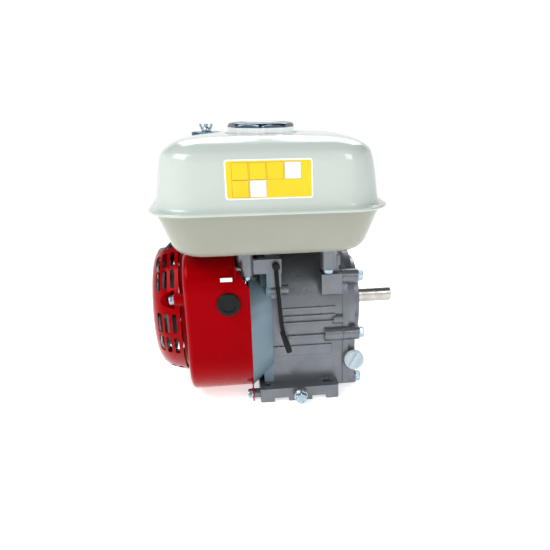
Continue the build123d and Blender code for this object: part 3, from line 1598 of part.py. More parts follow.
cleaner_x = -100.0
cleaner_y = 112.0
cleaner_low = 238.0
cleaner_high = 308.0
cleaner_length = 98.0
cleaner_depth = 96.0
carb_left = -49 - insulator_thickness - carb_length
cleaner_stud_r = 3.0
with BuildPart() as air_cleaner_base:
    with BuildSketch(Plane.XY.offset(cleaner_low)):
        with Locations((cleaner_x, cleaner_y)):
            RectangleRounded(cleaner_length, cleaner_depth, 22)
    extrude(amount=4)
    with BuildSketch(Plane.YZ.offset(carb_left)):
        with Locations((intake_y, intake_z)):
            RectangleRounded(44, 38, 5)
    extrude(amount=-30)
    with BuildSketch(Plane.XY.offset(intake_z)):
        with Locations((carb_left - 15, intake_y - 10)):
            RectangleRounded(30, 46, 8)
    extrude(amount=cleaner_low - intake_z)
    with BuildSketch(Plane.XY.offset(cleaner_low)):
        with Locations((cleaner_x, cleaner_y)):
            Circle(cleaner_stud_r)
    extrude(amount=cleaner_high - cleaner_low + 22)
    with BuildSketch(Plane.YZ.offset(carb_left)):
        with Locations((intake_y, intake_z)):
            Circle(12)
    extrude(amount=-16, mode=Mode.SUBTRACT)
    with BuildSketch(Plane.XY.offset(intake_z - 10)):
        with Locations((carb_left - 16, intake_y - 6)):
            Circle(11)
    extrude(amount=cleaner_low - intake_z + 16, mode=Mode.SUBTRACT)
air_cleaner_base.part.label = "air_cleaner_base"
export_step(air_cleaner_base.part, "parts/air_cleaner_base.step")

with BuildPart() as air_filter:
    with BuildSketch(Plane.XY.offset(cleaner_low + 4)):
        with Locations((cleaner_x, cleaner_y)):
            Circle(40)
            Circle(30, mode=Mode.SUBTRACT)
    extrude(amount=cleaner_high - cleaner_low - 12)
air_filter.part.label = "air_filter"
export_step(air_filter.part, "parts/air_filter.step")

cleaner_wall = 2.5


def cleaner_body(inset):
    """Air cleaner's cover as one solid, inset by its wall."""
    with BuildPart() as body:
        with BuildSketch(Plane.XY.offset(cleaner_low + 4)):
            with Locations((cleaner_x, cleaner_y)):
                RectangleRounded(cleaner_length - 2 * inset, cleaner_depth - 2 * inset, 22 - inset)
        extrude(amount=cleaner_high - cleaner_low - 4 - inset)
        fillet(body.faces().sort_by(Axis.Z)[-1].edges(), 12 - inset)
    return body.part


with BuildPart() as air_cleaner_cover:
    add(cleaner_body(0))
    add(cleaner_body(cleaner_wall), mode=Mode.SUBTRACT)
    with BuildSketch(Plane.XY.offset(cleaner_low)):
        with Locations((cleaner_x, cleaner_y)):
            Circle(cleaner_stud_r + gap)
    extrude(amount=90, mode=Mode.SUBTRACT)
air_cleaner_cover.part.label = "air_cleaner_cover"
export_step(air_cleaner_cover.part, "parts/air_cleaner_cover.step")

wing_points = [(4, 4), (12, 15), (11, 22), (6, 18), (4, 11)]
with BuildPart() as air_cleaner_wing_nut:
    with BuildSketch(Plane.XY.offset(cleaner_high)):
        with Locations((cleaner_x, cleaner_y)):
            Circle(20.5)
    extrude(amount=3)
    with BuildSketch(Plane.XY.offset(cleaner_high + 3)):
        with Locations((cleaner_x, cleaner_y)):
            Circle(6.5)
    extrude(amount=9)
    with BuildSketch(Plane.XZ.offset(-cleaner_y - 1.5)):
        for side in (-1, 1):
            with BuildLine():
                wing = [(cleaner_x + side * reach, cleaner_high + rise) for reach, rise in wing_points]
                Polyline(*wing, close=True)
            make_face()
    extrude(amount=3)
    with BuildSketch(Plane.XY.offset(cleaner_high)):
        with Locations((cleaner_x, cleaner_y)):
            Circle(cleaner_stud_r + 0.06)
    extrude(amount=30, mode=Mode.SUBTRACT)
air_cleaner_wing_nut.part.label = "air_cleaner_wing_nut"
export_step(air_cleaner_wing_nut.part, "parts/air_cleaner_wing_nut.step")

# ---------------------------------------------------------------- exhaust side
muffler_low = 234.0
muffler_high = 302.0
muffler_x = 50.0
muffler_pipe_x = 63.0
muffler_y = 158.0
muffler_length = 48.0
muffler_depth = 78.0


def muffler_box(inset):
    """Muffler's box as one solid, inset by the sheet."""
    with BuildPart() as body:
        with BuildSketch(Plane.XY.offset(muffler_low + inset)):
            with Locations((muffler_x, muffler_y)):
                RectangleRounded(muffler_length - 2 * inset, muffler_depth - 2 * inset, 14 - inset)
        extrude(amount=muffler_high - muffler_low - 2 * inset)
        fillet(body.edges().group_by(Axis.Z)[-1] + body.edges().group_by(Axis.Z)[0], 6 - inset)
    return body.part


with BuildPart() as muffler:
    add(muffler_box(0))
    add(muffler_box(sheet), mode=Mode.SUBTRACT)
    with BuildSketch(Plane.YZ.offset(49)):
        with Locations((intake_y, intake_z)):
            RectangleRounded(34, 30, 5)
    extrude(amount=5)
    with BuildSketch(Plane.YZ.offset(54)):
        with Locations((intake_y, intake_z)):
            Circle(12)
    extrude(amount=muffler_pipe_x - 54)
    with BuildSketch(Plane.XY.offset(intake_z - 12)):
        with Locations((muffler_pipe_x, intake_y)):
            Circle(12)
    extrude(amount=muffler_low - intake_z + 13)
    with BuildSketch(Plane.YZ.offset(49)):
        with Locations((intake_y, intake_z)):
            Circle(9)
    extrude(amount=muffler_pipe_x - 49, mode=Mode.SUBTRACT)
    with BuildSketch(Plane.XY.offset(intake_z)):
        with Locations((muffler_pipe_x, intake_y)):
            Circle(9)
    extrude(amount=muffler_low - intake_z + 10, mode=Mode.SUBTRACT)
    with BuildSketch(Plane.XZ.offset(-muffler_y - muffler_depth / 2 + 2)):
        with Locations((muffler_x, muffler_high - 22)):
            Circle(8)
    extrude(amount=-8)
    with BuildSketch(Plane.XZ.offset(-muffler_y - muffler_depth / 2 + 2)):
        with Locations((muffler_x, muffler_high - 22)):
            Circle(6.5)
    extrude(amount=-9, mode=Mode.SUBTRACT)
muffler.part.label = "muffler"
export_step(muffler.part, "parts/muffler.step")

guard_gap = 5.0
with BuildPart() as muffler_guard:
    with BuildSketch(Plane.XY.offset(muffler_low + 8)):
        with Locations((muffler_x, muffler_y)):
            RectangleRounded(muffler_length + 2 * guard_gap + 2.4, muffler_depth + 2 * guard_gap + 2.4, 16)
            guard_inside = (muffler_length + 2 * guard_gap, muffler_depth + 2 * guard_gap)
            RectangleRounded(*guard_inside, 15, mode=Mode.SUBTRACT)
    extrude(amount=muffler_high - muffler_low - 16)
    with BuildSketch(Plane.XY.offset(muffler_low + 40)):
        with Locations((muffler_x - muffler_length / 2 - guard_gap / 2, muffler_y),
                       (muffler_x + muffler_length / 2 + guard_gap / 2, muffler_y)):
            Rectangle(guard_gap, 8)
    extrude(amount=8)
    with BuildSketch(Plane.XZ.offset(-muffler_y - muffler_depth / 2 - guard_gap - 3)):
        with Locations((muffler_x, (muffler_low + muffler_high) / 2)):
            with GridLocations(0.01, 9, 1, 5):
                SlotOverall(30, 4.5)
        with Locations((muffler_x, muffler_high - 22)):
            Circle(9.5)
    extrude(amount=8, mode=Mode.SUBTRACT)
muffler_guard.part.label = "muffler_guard"
export_step(muffler_guard.part, "parts/muffler_guard.step")

# ---------------------------------------------------------------- carburettor levers and fuel line
carb_x = -49 - insulator_thickness - carb_length / 2
throttle_x = carb_x + 9.0
choke_x = carb_x - 8.0
lever_low = intake_z + 19.5
lever_shaft_r = 2.5


def butterfly_lever(x, arm_turn, arm_z):
    """Shaft with its disc in the carburettor's bore and an arm on top."""
    with BuildPart() as lever:
        with BuildSketch(Plane.XY.offset(intake_z - 11)):
            with Locations((x, intake_y)):
                Circle(lever_shaft_r)
        extrude(amount=arm_z + 3 - intake_z + 11)
        with BuildSketch(Plane.YZ.offset(x - 0.5)):
            with Locations((intake_y, intake_z)):
                Circle(8.5)
        extrude(amount=1)
        with BuildSketch(Plane.XY.offset(arm_z)):
            with Locations((x, intake_y)):
                Circle(5)
            with Locations(Location((x, intake_y), arm_turn)):
                with Locations((6, 0)):
                    RectangleRounded(20, 6, 2.9)
        extrude(amount=2.5)
    return lever.part


throttle_lever = butterfly_lever(throttle_x, 45, lever_low + 4)
throttle_lever.label = "throttle_lever"
export_step(throttle_lever, "parts/throttle_lever.step")
choke_lever = butterfly_lever(choke_x, 40, lever_low)
choke_lever.label = "choke_lever"
export_step(choke_lever, "parts/choke_lever.step")

valve_boss_y = intake_y + 24.0
valve_boss_z = intake_z - 16.0
with BuildPart() as fuel_valve_lever:
    with BuildSketch(Plane.XZ.offset(-valve_boss_y - gap)):
        with Locations((carb_x, valve_boss_z)):
            Circle(6)
        with Locations((carb_x - 9, valve_boss_z)):
            RectangleRounded(26, 6, 2.9)
    extrude(amount=-4)
    with BuildSketch(Plane.XZ.offset(-valve_boss_y - gap)):
        with Locations((carb_x, valve_boss_z)):
            Circle(2)
    extrude(amount=8)
fuel_valve_lever.part.label = "fuel_valve_lever"
export_step(fuel_valve_lever.part, "parts/fuel_valve_lever.step")

fuel_points = [(hose_x, tank_tap_end, tank_tap_z), (hose_x, 66, tank_tap_z), (hose_x, 98, tank_tap_z - 3),
               (hose_x, hose_drop_y, tank_tap_z - 10), (hose_x, hose_drop_y, hose_drop_z)]
with BuildPart() as fuel_hose:
    with BuildLine() as fuel_route:
        FilletPolyline(*fuel_points, radius=[200, 70, 9])
    with BuildSketch(Plane(origin=fuel_points[0], z_dir=fuel_route.line % 0)):
        Circle(4)
    sweep()
fuel_hose.part.label = "fuel_hose"
export_step(fuel_hose.part, "parts/fuel_hose.step")

# ---------------------------------------------------------------- high-tension lead
cap_side = plug_plane.origin + plug_axis * 44
cap_out = Vector(0, -plug_axis.Z, plug_axis.Y)
lead_end = cap_side + cap_out * 9.6
lead_before_end = lead_end + cap_out * 15
lead_points = [tuple(lead_start), tuple(lead_start + lead_heading * 24), (-40, 62, 211), (-18, 78, 224),
               (-4, 100, 243), tuple(lead_before_end), tuple(lead_end)]
lead_radii = [16, 30, 40, 40, 9]
with BuildPart() as ignition_lead:
    with BuildLine() as lead_route:
        FilletPolyline(*lead_points, radius=lead_radii)
    with BuildSketch(Plane(origin=lead_points[0], z_dir=lead_route.line % 0)):
        Circle(3.2)
    sweep()
ignition_lead.part.label = "ignition_lead"
export_step(ignition_lead.part, "parts/ignition_lead.step")

# ---------------------------------------------------------------- stop wire, hanging free
grommet_x = -23.0
grommet_z = 173.0
with BuildPart() as wire_grommet:
    with BuildSketch(Plane.XZ.offset(-arm_face_y)):
        with Locations((grommet_x, grommet_z)):
            Circle(4.6)
    extrude(amount=9)
    fillet(wire_grommet.edges().filter_by(GeomType.CIRCLE), 1.2)
wire_grommet.part.label = "wire_grommet"
export_step(wire_grommet.part, "parts/wire_grommet.step")

wire_r = 2.5
wire_points = [(-23, -79, 171), (-22.8, -82, 156), (-21.4, -87.2, 136), (-20.4, -90.6, 114),
               (-18.4, -93.4, 92), (-11.3, -95, 69)]


def cord_radii(points):
    """Largest arc at each corner of a hanging route."""
    radii = []
    for before, corner, after in zip(points, points[1:], points[2:]):
        run_in = Vector(*corner) - Vector(*before)
        run_out = Vector(*after) - Vector(*corner)
        turn = math.radians(run_in.get_angle(run_out))
        radii.append(0.45 * min(run_in.length, run_out.length) / math.tan(turn / 2))
    return radii


wire_radii = cord_radii(wire_points)
print("stop wire radii", [round(radius, 1) for radius in wire_radii])
with BuildPart() as stop_wire:
    with BuildLine() as wire_route:
        FilletPolyline(*wire_points, radius=wire_radii)
    with BuildSketch(Plane(origin=wire_points[0], z_dir=wire_route.line % 0)):
        Circle(wire_r)
    sweep()
wire_length = sum(edge.length for edge in wire_route.edges())
wire_tube = math.pi * wire_r ** 2 * wire_length
print("stop wire length", round(wire_length, 1), "volume", round(stop_wire.part.volume / wire_tube, 4))
stop_wire.part.label = "stop_wire"
export_step(stop_wire.part, "parts/stop_wire.step")
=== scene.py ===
# %% [markdown]
# # A small petrol engine
#
# The object is a single-cylinder four-stroke engine with a horizontal shaft. Its parts arrive as
# exact solids from the frame. This lesson dresses them: it sets the camera first, makes each finish as a
# node material, and then models the pieces whose look is more than their solid, such as the pressed tank,
# the bolts and the pull rope.

# %% Load the frame
import math

import bmesh
import bpy
from mathutils import Matrix, Vector


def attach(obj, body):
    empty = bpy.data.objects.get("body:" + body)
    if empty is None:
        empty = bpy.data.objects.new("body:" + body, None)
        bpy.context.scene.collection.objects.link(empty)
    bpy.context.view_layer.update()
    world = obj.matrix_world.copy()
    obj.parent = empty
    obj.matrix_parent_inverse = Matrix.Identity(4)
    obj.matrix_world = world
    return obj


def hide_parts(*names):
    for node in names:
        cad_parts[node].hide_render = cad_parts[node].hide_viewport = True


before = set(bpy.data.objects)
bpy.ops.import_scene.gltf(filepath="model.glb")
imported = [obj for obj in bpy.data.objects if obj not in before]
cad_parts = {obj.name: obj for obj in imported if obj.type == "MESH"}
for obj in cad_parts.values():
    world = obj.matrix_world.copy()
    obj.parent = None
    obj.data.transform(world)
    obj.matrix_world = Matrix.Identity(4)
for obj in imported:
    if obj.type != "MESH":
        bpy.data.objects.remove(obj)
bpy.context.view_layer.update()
MM = 0.001
print("solids in the frame:", len(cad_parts))

# %% [markdown]
# ## The camera
#
# The engine is seen from the tank side, a little from the fan end and from above. The lens stands off the
# middle of the sensor by a small shift, and the camera rolls by less than half a degree. The three axes are
# worked out from yaw, pitch and roll, so each of them can be changed alone. The Standard view shows each
# colour as it was mixed.

# %% Set the camera
camera_data = bpy.data.cameras.new("view")
camera = bpy.data.objects.new("view", camera_data)
bpy.context.scene.collection.objects.link(camera)
camera_place = Vector((-75.8, -777.3, 366.0)) * MM
yaw, pitch, roll = math.radians(8.33), math.radians(19.9), math.radians(0.45)
forward = Vector((math.sin(yaw) * math.cos(pitch), math.cos(yaw) * math.cos(pitch), -math.sin(pitch)))
level = forward.cross(Vector((0, 0, 1))).normalized()
upright = level.cross(forward)
right = math.cos(roll) * level - math.sin(roll) * upright
above = math.sin(roll) * level + math.cos(roll) * upright
facing = Matrix((right, above, -forward)).transposed().to_4x4()
camera.matrix_world = Matrix.Translation(camera_place) @ facing
camera_data.sensor_width = 36
camera_data.lens = 39.4
camera_data.shift_x = -0.0769
camera_data.shift_y = 0.0695
camera_data.clip_start = 0.01
bpy.context.scene.camera = camera
bpy.context.scene.view_settings.view_transform = "Standard"
print("camera's distance from the origin:", round(camera_place.length, 3), "m")

# %% [markdown]
# ## Helpers for node trees and meshes
#
# One function adds any node with its settings and links, for materials and Geometry Nodes alike. Colours
# are written as sRGB hex values and turned to linear ones in one place. Meshes are built in millimetres and
# stored in metres.


# %% Node, colour and mesh helpers
def colour(code):
    """sRGB hex value as a linear RGBA colour."""
    parts = [int(code[place:place + 2], 16) / 255 for place in (1, 3, 5)]
    linear = [part / 12.92 if part <= 0.04045 else ((part + 0.055) / 1.055) ** 2.4 for part in parts]
    return (*linear, 1.0)


def node(tree, kind, settings=None, **inputs):
    """Adds one node. Settings are its own properties; inputs are values or the sockets that feed it."""
    made = tree.nodes.new(kind)
    for name, value in (settings or {}).items():
        setattr(made, name, value)
    for name, value in inputs.items():
        key = int(name[1:]) if name[0] == "_" and name[1:].isdigit() else name.replace("_", " ")
        socket = made.inputs[key]
        if isinstance(value, bpy.types.NodeSocket):
            tree.links.new(value, socket)
        else:
            socket.default_value = value
    return made


def mesh_piece(name, points, faces, smooth=True):
    """A mesh object from points in millimetres, with doubles merged and its faces turned outwards."""
    mesh = bpy.data.meshes.new(name)
    mesh.from_pydata([tuple(Vector(point) * MM) for point in points], [], faces)
    shape = bmesh.new()
    shape.from_mesh(mesh)
    bmesh.ops.remove_doubles(shape, verts=shape.verts, dist=1e-6)
    bmesh.ops.recalc_face_normals(shape, faces=shape.faces)
    shape.to_mesh(mesh)
    shape.free()
    mesh.polygons.foreach_set("use_smooth", [smooth] * len(mesh.polygons))
    piece = bpy.data.objects.new(name, mesh)
    bpy.context.scene.collection.objects.link(piece)
    return piece


def ring_faces(rows, steps, closed=False):
    """Faces between rings of points that lie one after another. An open stack gets a cap at each end."""
    faces = []
    for row in range(rows if closed else rows - 1):
        low, high = row * steps, (row + 1) % rows * steps
        for step in range(steps):
            after = (step + 1) % steps
            faces.append((low + step, low + after, high + after, high + step))
    if not closed:
        faces.append(tuple(reversed(range(steps))))
        faces.append(tuple(range((rows - 1) * steps, rows * steps)))
    return faces


def dress(piece, finish, body):
    """Gives a new piece its finish and its body."""
    if not piece.data.materials:
        piece.data.materials.append(finish)
    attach(piece, body)
    return piece


# %% [markdown]
# ## The stop wire
#
# A black wire hangs from the grommet beside the tank post, runs down in front of the crankcase and ends in
# an open sleeve. It is a cord, so it is one smooth NURBS line through listed points with a round
# bevel.

# %% Stop wire
wire_points = [(-23, -79, 171), (-22.8, -82, 156), (-21.4, -87.2, 136), (-20.4, -90.6, 114),
               (-18.4, -93.4, 92), (-11.3, -95, 69)]
wire_r = 2.5
wire_data = bpy.data.curves.new("stop_wire_sleeve", "CURVE")
wire_data.dimensions = "3D"
spline = wire_data.splines.new("NURBS")
spline.points.add(len(wire_points) - 1)
for point, place in zip(spline.points, wire_points):
    point.co = (*(Vector(place) * MM), 1)
spline.order_u = 3
spline.use_endpoint_u = True
spline.resolution_u = 16
wire_data.bevel_depth = wire_r * MM
wire_data.bevel_resolution = 6
wire_data.use_fill_caps = True
wire = bpy.data.objects.new("stop_wire_sleeve", wire_data)
bpy.context.scene.collection.objects.link(wire)

# %% [markdown]
# ## Floor and light
#
# A plain pale floor carries the engine. The light is a soft studio set: a wide key above and to the left, a
# weaker fill at the front right, a wide one behind, and a world that is white round the horizon and grey
# overhead. The white band gives each upright face a long soft highlight from every side, and the grey keeps
# the tops from washing out.

# %% Floor, lights and world
floor_side, floor_back, floor_level = 1600, 1300, -0.3
floor_corners = [(-floor_side, -floor_side, floor_level), (floor_side, -floor_side, floor_level),
                 (floor_side, floor_back, floor_level), (-floor_side, floor_back, floor_level)]
floor = mesh_piece("floor", floor_corners, [(0, 1, 2, 3)], smooth=False)


def soft_light(name, place, aim, size, power):
    """A wide area light at a place in metres, aimed at a point."""
    data = bpy.data.lights.new(name, "AREA")
    data.shape = "RECTANGLE"
    data.size, data.size_y = size
    data.energy = power
    lamp = bpy.data.objects.new(name, data)
    turn = (Vector(aim) - Vector(place)).to_track_quat("-Z", "Y")
    lamp.matrix_world = Matrix.Translation(place) @ turn.to_matrix().to_4x4()
    bpy.context.scene.collection.objects.link(lamp)
    return lamp


soft_light("key", place=(-1.1, -0.7, 1.5), aim=(0, 0, 0.2), size=(1.3, 0.9), power=24)
soft_light("fill", place=(0.8, -1.5, 1.25), aim=(0, 0, 0.12), size=(0.6, 0.5), power=7)
soft_light("back", place=(0.2, 1.4, 1.5), aim=(0, 0, 0.2), size=(1.6, 0.9), power=22)
world = bpy.data.worlds.new("studio")
bpy.context.scene.world = world
world.use_nodes = True
sky = world.node_tree
heading = node(sky, "ShaderNodeSeparateXYZ", Vector=node(sky, "ShaderNodeTexCoord").outputs["Generated"])
band_top, grey_from = 0.3, 0.5
height = node(sky, "ShaderNodeMapRange", Value=heading.outputs["Z"], From_Min=band_top, From_Max=grey_from)
shade = node(sky, "ShaderNodeMix", {"data_type": "RGBA"}, _0=height.outputs["Result"],
             _6=colour("#FFFFFF"), _7=colour("#52585E"))
sky.links.new(shade.outputs[2], sky.nodes["Background"].inputs["Color"])
sky.nodes["Background"].inputs["Strength"].default_value = 1.0

# %% [markdown]
# ## Finishes
#
# Each finish starts from the real material. The grain of every pattern is given in millimetres and read in
# Object coordinates, so it keeps its real size on every piece. A shared recipe mixes two close colours with
# a soft noise, varies the roughness with the same noise and adds a fine bump. Each finish gives its two
# colours, the size of the blotches, the roughness and its spread, and then the size and the height of the
# grain.


# %% The shared recipe
def layer(tree, place, base, second, blotch_mm, rough, rough_spread, grain_mm, grain_height_mm, metallic=0.0,
          coat=0.0, coat_rough=0.05, ior=1.5, contrast=0.5, sheen=0.0, edge_mm=0.0, shine="#FFFFFF",
          glow=0.0):
    """One surface in a node tree: two close colours in soft blotches, uneven gloss and a fine grain."""
    blotch = node(tree, "ShaderNodeTexNoise", Vector=place, Scale=1 / (blotch_mm * MM), Detail=4.0,
                  Roughness=0.55)
    spread = node(tree, "ShaderNodeMapRange", Value=blotch.outputs["Fac"], From_Min=0.5 - contrast / 2,
                  From_Max=0.5 + contrast / 2)
    tint = node(tree, "ShaderNodeMix", {"data_type": "RGBA"}, _0=spread.outputs["Result"],
                _6=colour(base), _7=colour(second))
    gloss = node(tree, "ShaderNodeMapRange", Value=blotch.outputs["Fac"], From_Min=0.3, From_Max=0.7,
                 To_Min=max(0.02, rough - rough_spread), To_Max=rough + rough_spread)
    grain = node(tree, "ShaderNodeTexNoise", Vector=place, Scale=1 / (grain_mm * MM), Detail=3.0,
                 Roughness=0.6)
    bump = node(tree, "ShaderNodeBump", Height=grain.outputs["Fac"], Distance=grain_height_mm * MM,
                Strength=1.0)
    if edge_mm:
        soft = node(tree, "ShaderNodeBevel", {"samples": 4}, Radius=edge_mm * MM)
        tree.links.new(soft.outputs["Normal"], bump.inputs["Normal"])
    shader = node(tree, "ShaderNodeBsdfPrincipled", Base_Color=tint.outputs[2], Metallic=metallic,
                  Roughness=gloss.outputs["Result"], Normal=bump.outputs["Normal"], Coat_Weight=coat,
                  Coat_Roughness=coat_rough, IOR=ior, Sheen_Weight=sheen,
                  Specular_Tint=colour(shine), Emission_Color=colour(base), Emission_Strength=glow)
    return shader.outputs["BSDF"]


def finish(name, *sizes, **looks):
    """A node material of one layer."""
    material = bpy.data.materials.new(name)
    material.use_nodes = True
    tree = material.node_tree
    tree.nodes.clear()
    place = node(tree, "ShaderNodeTexCoord").outputs["Object"]
    node(tree, "ShaderNodeOutputMaterial", Surface=layer(tree, place, *sizes, **looks))
    return material


def two_finishes(name, outer, inner, mask):
    """A node material of two layers; mask() builds the zone of the inner one from the Object coordinates."""
    material = bpy.data.materials.new(name)
    material.use_nodes = True
    tree = material.node_tree
    tree.nodes.clear()
    place = node(tree, "ShaderNodeTexCoord").outputs["Object"]
    both = node(tree, "ShaderNodeMixShader", _0=mask(tree, place),
                _1=layer(tree, place, *outer[0], **outer[1]), _2=layer(tree, place, *inner[0], **inner[1]))
    node(tree, "ShaderNodeOutputMaterial", Surface=both.outputs["Shader"])
    return material


def where(*limits):
    """A mask that is one where every limit holds: a comparison, an axis and a place in millimetres."""

    def mask(tree, place):
        axes = node(tree, "ShaderNodeSeparateXYZ", Vector=place)
        inside = 1.0
        for comparison, axis, limit in limits:
            holds = node(tree, "ShaderNodeMath", {"operation": comparison},
                         _0=axes.outputs[axis], _1=limit * MM)
            so_far = node(tree, "ShaderNodeMath", {"operation": "MULTIPLY"},
                          _0=holds.outputs["Value"], _1=inside)
            inside = so_far.outputs["Value"]
        return inside

    return mask


# %% [markdown]
# Enamel on the tank is a thick, level gloss coat over pressed steel, so it has almost no grain, only a
# faint orange peel about two millimetres across. The lower shell is painted a darker, duller cream than the
# upper one. This is painted shade on the half that faces away from the light, and the two meet under the
# seam.
# The red covers have the same kind of paint; its gloss is tinted, so that it stays a deep red. The black
# paint on the air cleaner and the valve cover is a satin one, which spreads its highlights wide.

# %% Paints
upper_enamel = (("#BEC8C1", "#B9C3BC", 60, 0.18, 0.03, 2.2, 0.01), {"ior": 1.45, "coat": 0.25})
# The darker cream below the seam is painted shade: the enamel itself is one colour all over.
lower_enamel_painted_shade = (("#9C9E92", "#96988C", 60, 0.22, 0.03, 2.2, 0.01), {"ior": 1.4, "coat": 0.1})
seam_underside = 247.4
cream_enamel = two_finishes("cream_enamel", upper_enamel, lower_enamel_painted_shade,
                            where(("LESS_THAN", "Z", seam_underside)))
red_paint = finish("red_gloss_paint", "#920006", "#880004", 50, 0.16, 0.03, 2.0, 0.008, ior=1.45,
                   shine="#FF3A48")
satin_black = ("#1C1D1F", "#232426", 30, 0.4, 0.06, 1.4, 0.02)
black_paint = finish("black_satin_paint", *satin_black, coat=0.1)

# %% [markdown]
# Raw die-cast aluminium is dull and patchy, with a fine shot-blasted grain. The bell of the crankcase has a
# blue-grey paint, so a mask of its place splits the two. Machined and plated steel are smoother; a blue
# zinc plate is faintly cold. Chrome is bright at the cap's side, and its top carries a painted dark
# reflection.

# %% Metals
raw_cast = (("#7E8288", "#686C72", 26, 0.3, 0.05, 0.9, 0.03),
            {"metallic": 0.7, "edge_mm": 0.9, "contrast": 0.9})
painted_cast = (("#748A96", "#6C828E", 30, 0.34, 0.05, 1.6, 0.015), {"ior": 1.4, "edge_mm": 0.5})
cast_aluminium = finish("die_cast_aluminium", *raw_cast[0], **raw_cast[1])
bell_edge, bell_low, bell_high = -30.2, 19, 159
bell_zone = where(("LESS_THAN", "X", bell_edge), ("GREATER_THAN", "Z", bell_low),
                  ("LESS_THAN", "Z", bell_high))
crankcase_finish = two_finishes("cast_and_painted_bell", raw_cast, painted_cast, bell_zone)
turned_steel = finish("turned_steel", "#C6C3BE", "#AFABA5", 9, 0.3, 0.06, 0.5, 0.01, metallic=1.0)
blue_zinc = ("#B9CBD4", "#93A9B5", 5, 0.28, 0.08, 0.5, 0.02)
zinc_plate = finish("blue_zinc_plate", *blue_zinc, metallic=0.95)
chrome = (("#F2F5F6", "#E8ECEE", 20, 0.3, 0.04, 1.0, 0.005), {"metallic": 1.0})
# Above cap_top_edge the chrome is painted dark blue-grey. This is a painted reflection of a dark sky, not the
# plating's own colour.
chrome_painted_dark_reflection = (("#5E6C78", "#4C5965", 30, 0.2, 0.04, 1.0, 0.005), {"metallic": 1.0})
cap_top_edge = 332.2
chrome_plate = two_finishes("chrome_with_painted_dark_top", chrome, chrome_painted_dark_reflection,
                            where(("GREATER_THAN", "Z", cap_top_edge)))
blued_steel = finish("blued_chrome_disc", "#4A6178", "#3C5268", 30, 0.22, 0.05, 1.0, 0.005,
                     metallic=1.0)
cast_iron = finish("machined_cast_iron", "#77797B", "#616467", 10, 0.5, 0.1, 0.8, 0.05, metallic=0.85)
piston_alloy = finish("turned_piston_alloy", "#C4C6C8", "#B2B5B8", 12, 0.3, 0.06, 0.5, 0.01, metallic=1.0)
hot_steel = finish("heat_stained_steel", "#6E665E", "#4C4844", 22, 0.45, 0.1, 0.9, 0.03, metallic=0.8)

# %% [markdown]
# The tray under the air cleaner carries a bare zinc stud, and both are one solid. The stud is told apart by
# its distance from the air cleaner's axis, so its thread end is bright where it comes up through the wing
# nut.

# %% Tray and stud
cleaner_place = (-100.0, 112.0)
stud_r = 3.4


def stud_zone(tree, place):
    """Everything within the stud's radius of the air cleaner's axis."""
    flattened = node(tree, "ShaderNodeVectorMath", {"operation": "MULTIPLY"}, _0=place, _1=(1, 1, 0))
    axis = (cleaner_place[0] * MM, cleaner_place[1] * MM, 0)
    off = node(tree, "ShaderNodeVectorMath", {"operation": "DISTANCE"},
               _0=flattened.outputs["Vector"], _1=axis)
    near = node(tree, "ShaderNodeMath", {"operation": "LESS_THAN"}, _0=off.outputs["Value"], _1=stud_r * MM)
    return near.outputs["Value"]


tray_finish = two_finishes("painted_tray_and_zinc_stud", (satin_black, {}), (blue_zinc, {"metallic": 0.95}),
                           stud_zone)

# %% [markdown]
# Rubber, plastic, fibre, rope and foam scatter light in a soft way: high roughness, no metal, a visible
# grain. The label is smooth printed vinyl. The floor glows a little, so that it stays white under the
# engine's soft shadow.

# %% Plastics, rubber and fibre
black_rubber = finish("moulded_rubber", "#0E0F10", "#151617", 14, 0.36, 0.06, 0.7, 0.03, ior=1.28)
black_plastic = finish("black_nylon", "#17181A", "#202224", 14, 0.42, 0.06, 0.6, 0.02)
pale_plastic = finish("pale_blue_nylon", "#C3D0D8", "#B7C6CF", 12, 0.38, 0.05, 0.7, 0.02)
ceramic = finish("glazed_ceramic", "#EDEDE8", "#E4E4DE", 10, 0.16, 0.03, 1.0, 0.004, coat=0.4)
gasket_fibre = finish("gasket_fibre", "#5C6665", "#4B5453", 4, 0.8, 0.08, 0.6, 0.05)
rope_fibre = finish("braided_polyester", "#DAD9D2", "#BFBEB6", 2, 0.75, 0.08, 0.5, 0.06, sheen=0.3)
filter_foam = finish("oiled_filter_foam", "#35322E", "#25231F", 3, 0.9, 0.05, 1.2, 0.3)
moulded_plastic = finish("glass_filled_nylon", "#26282B", "#303236", 10, 0.5, 0.06, 0.6, 0.03)
label_vinyl = finish("yellow_vinyl", "#F2CB12", "#EEC40C", 20, 0.34, 0.03, 1.0, 0.004)
white_vinyl = finish("white_vinyl", "#F0F1EF", "#EAEBE8", 20, 0.34, 0.03, 1.0, 0.004)
dark_ink = finish("dark_printing_ink", "#6A6236", "#5C5530", 10, 0.45, 0.03, 1.0, 0.004)
floor_paint = finish("pale_floor", "#F8F8F8", "#F6F6F6", 400, 0.7, 0.03, 30, 0.02, ior=1.2, glow=0.65)
floor.data.materials.append(floor_paint)
print("finishes made:", len(bpy.data.materials))

# %% [markdown]
# The CAD solids keep their meshes, and each takes the finish of its real material. One table of finishes
# and names is enough for all of them, and a part that is out of sight at rest has its own finish too.

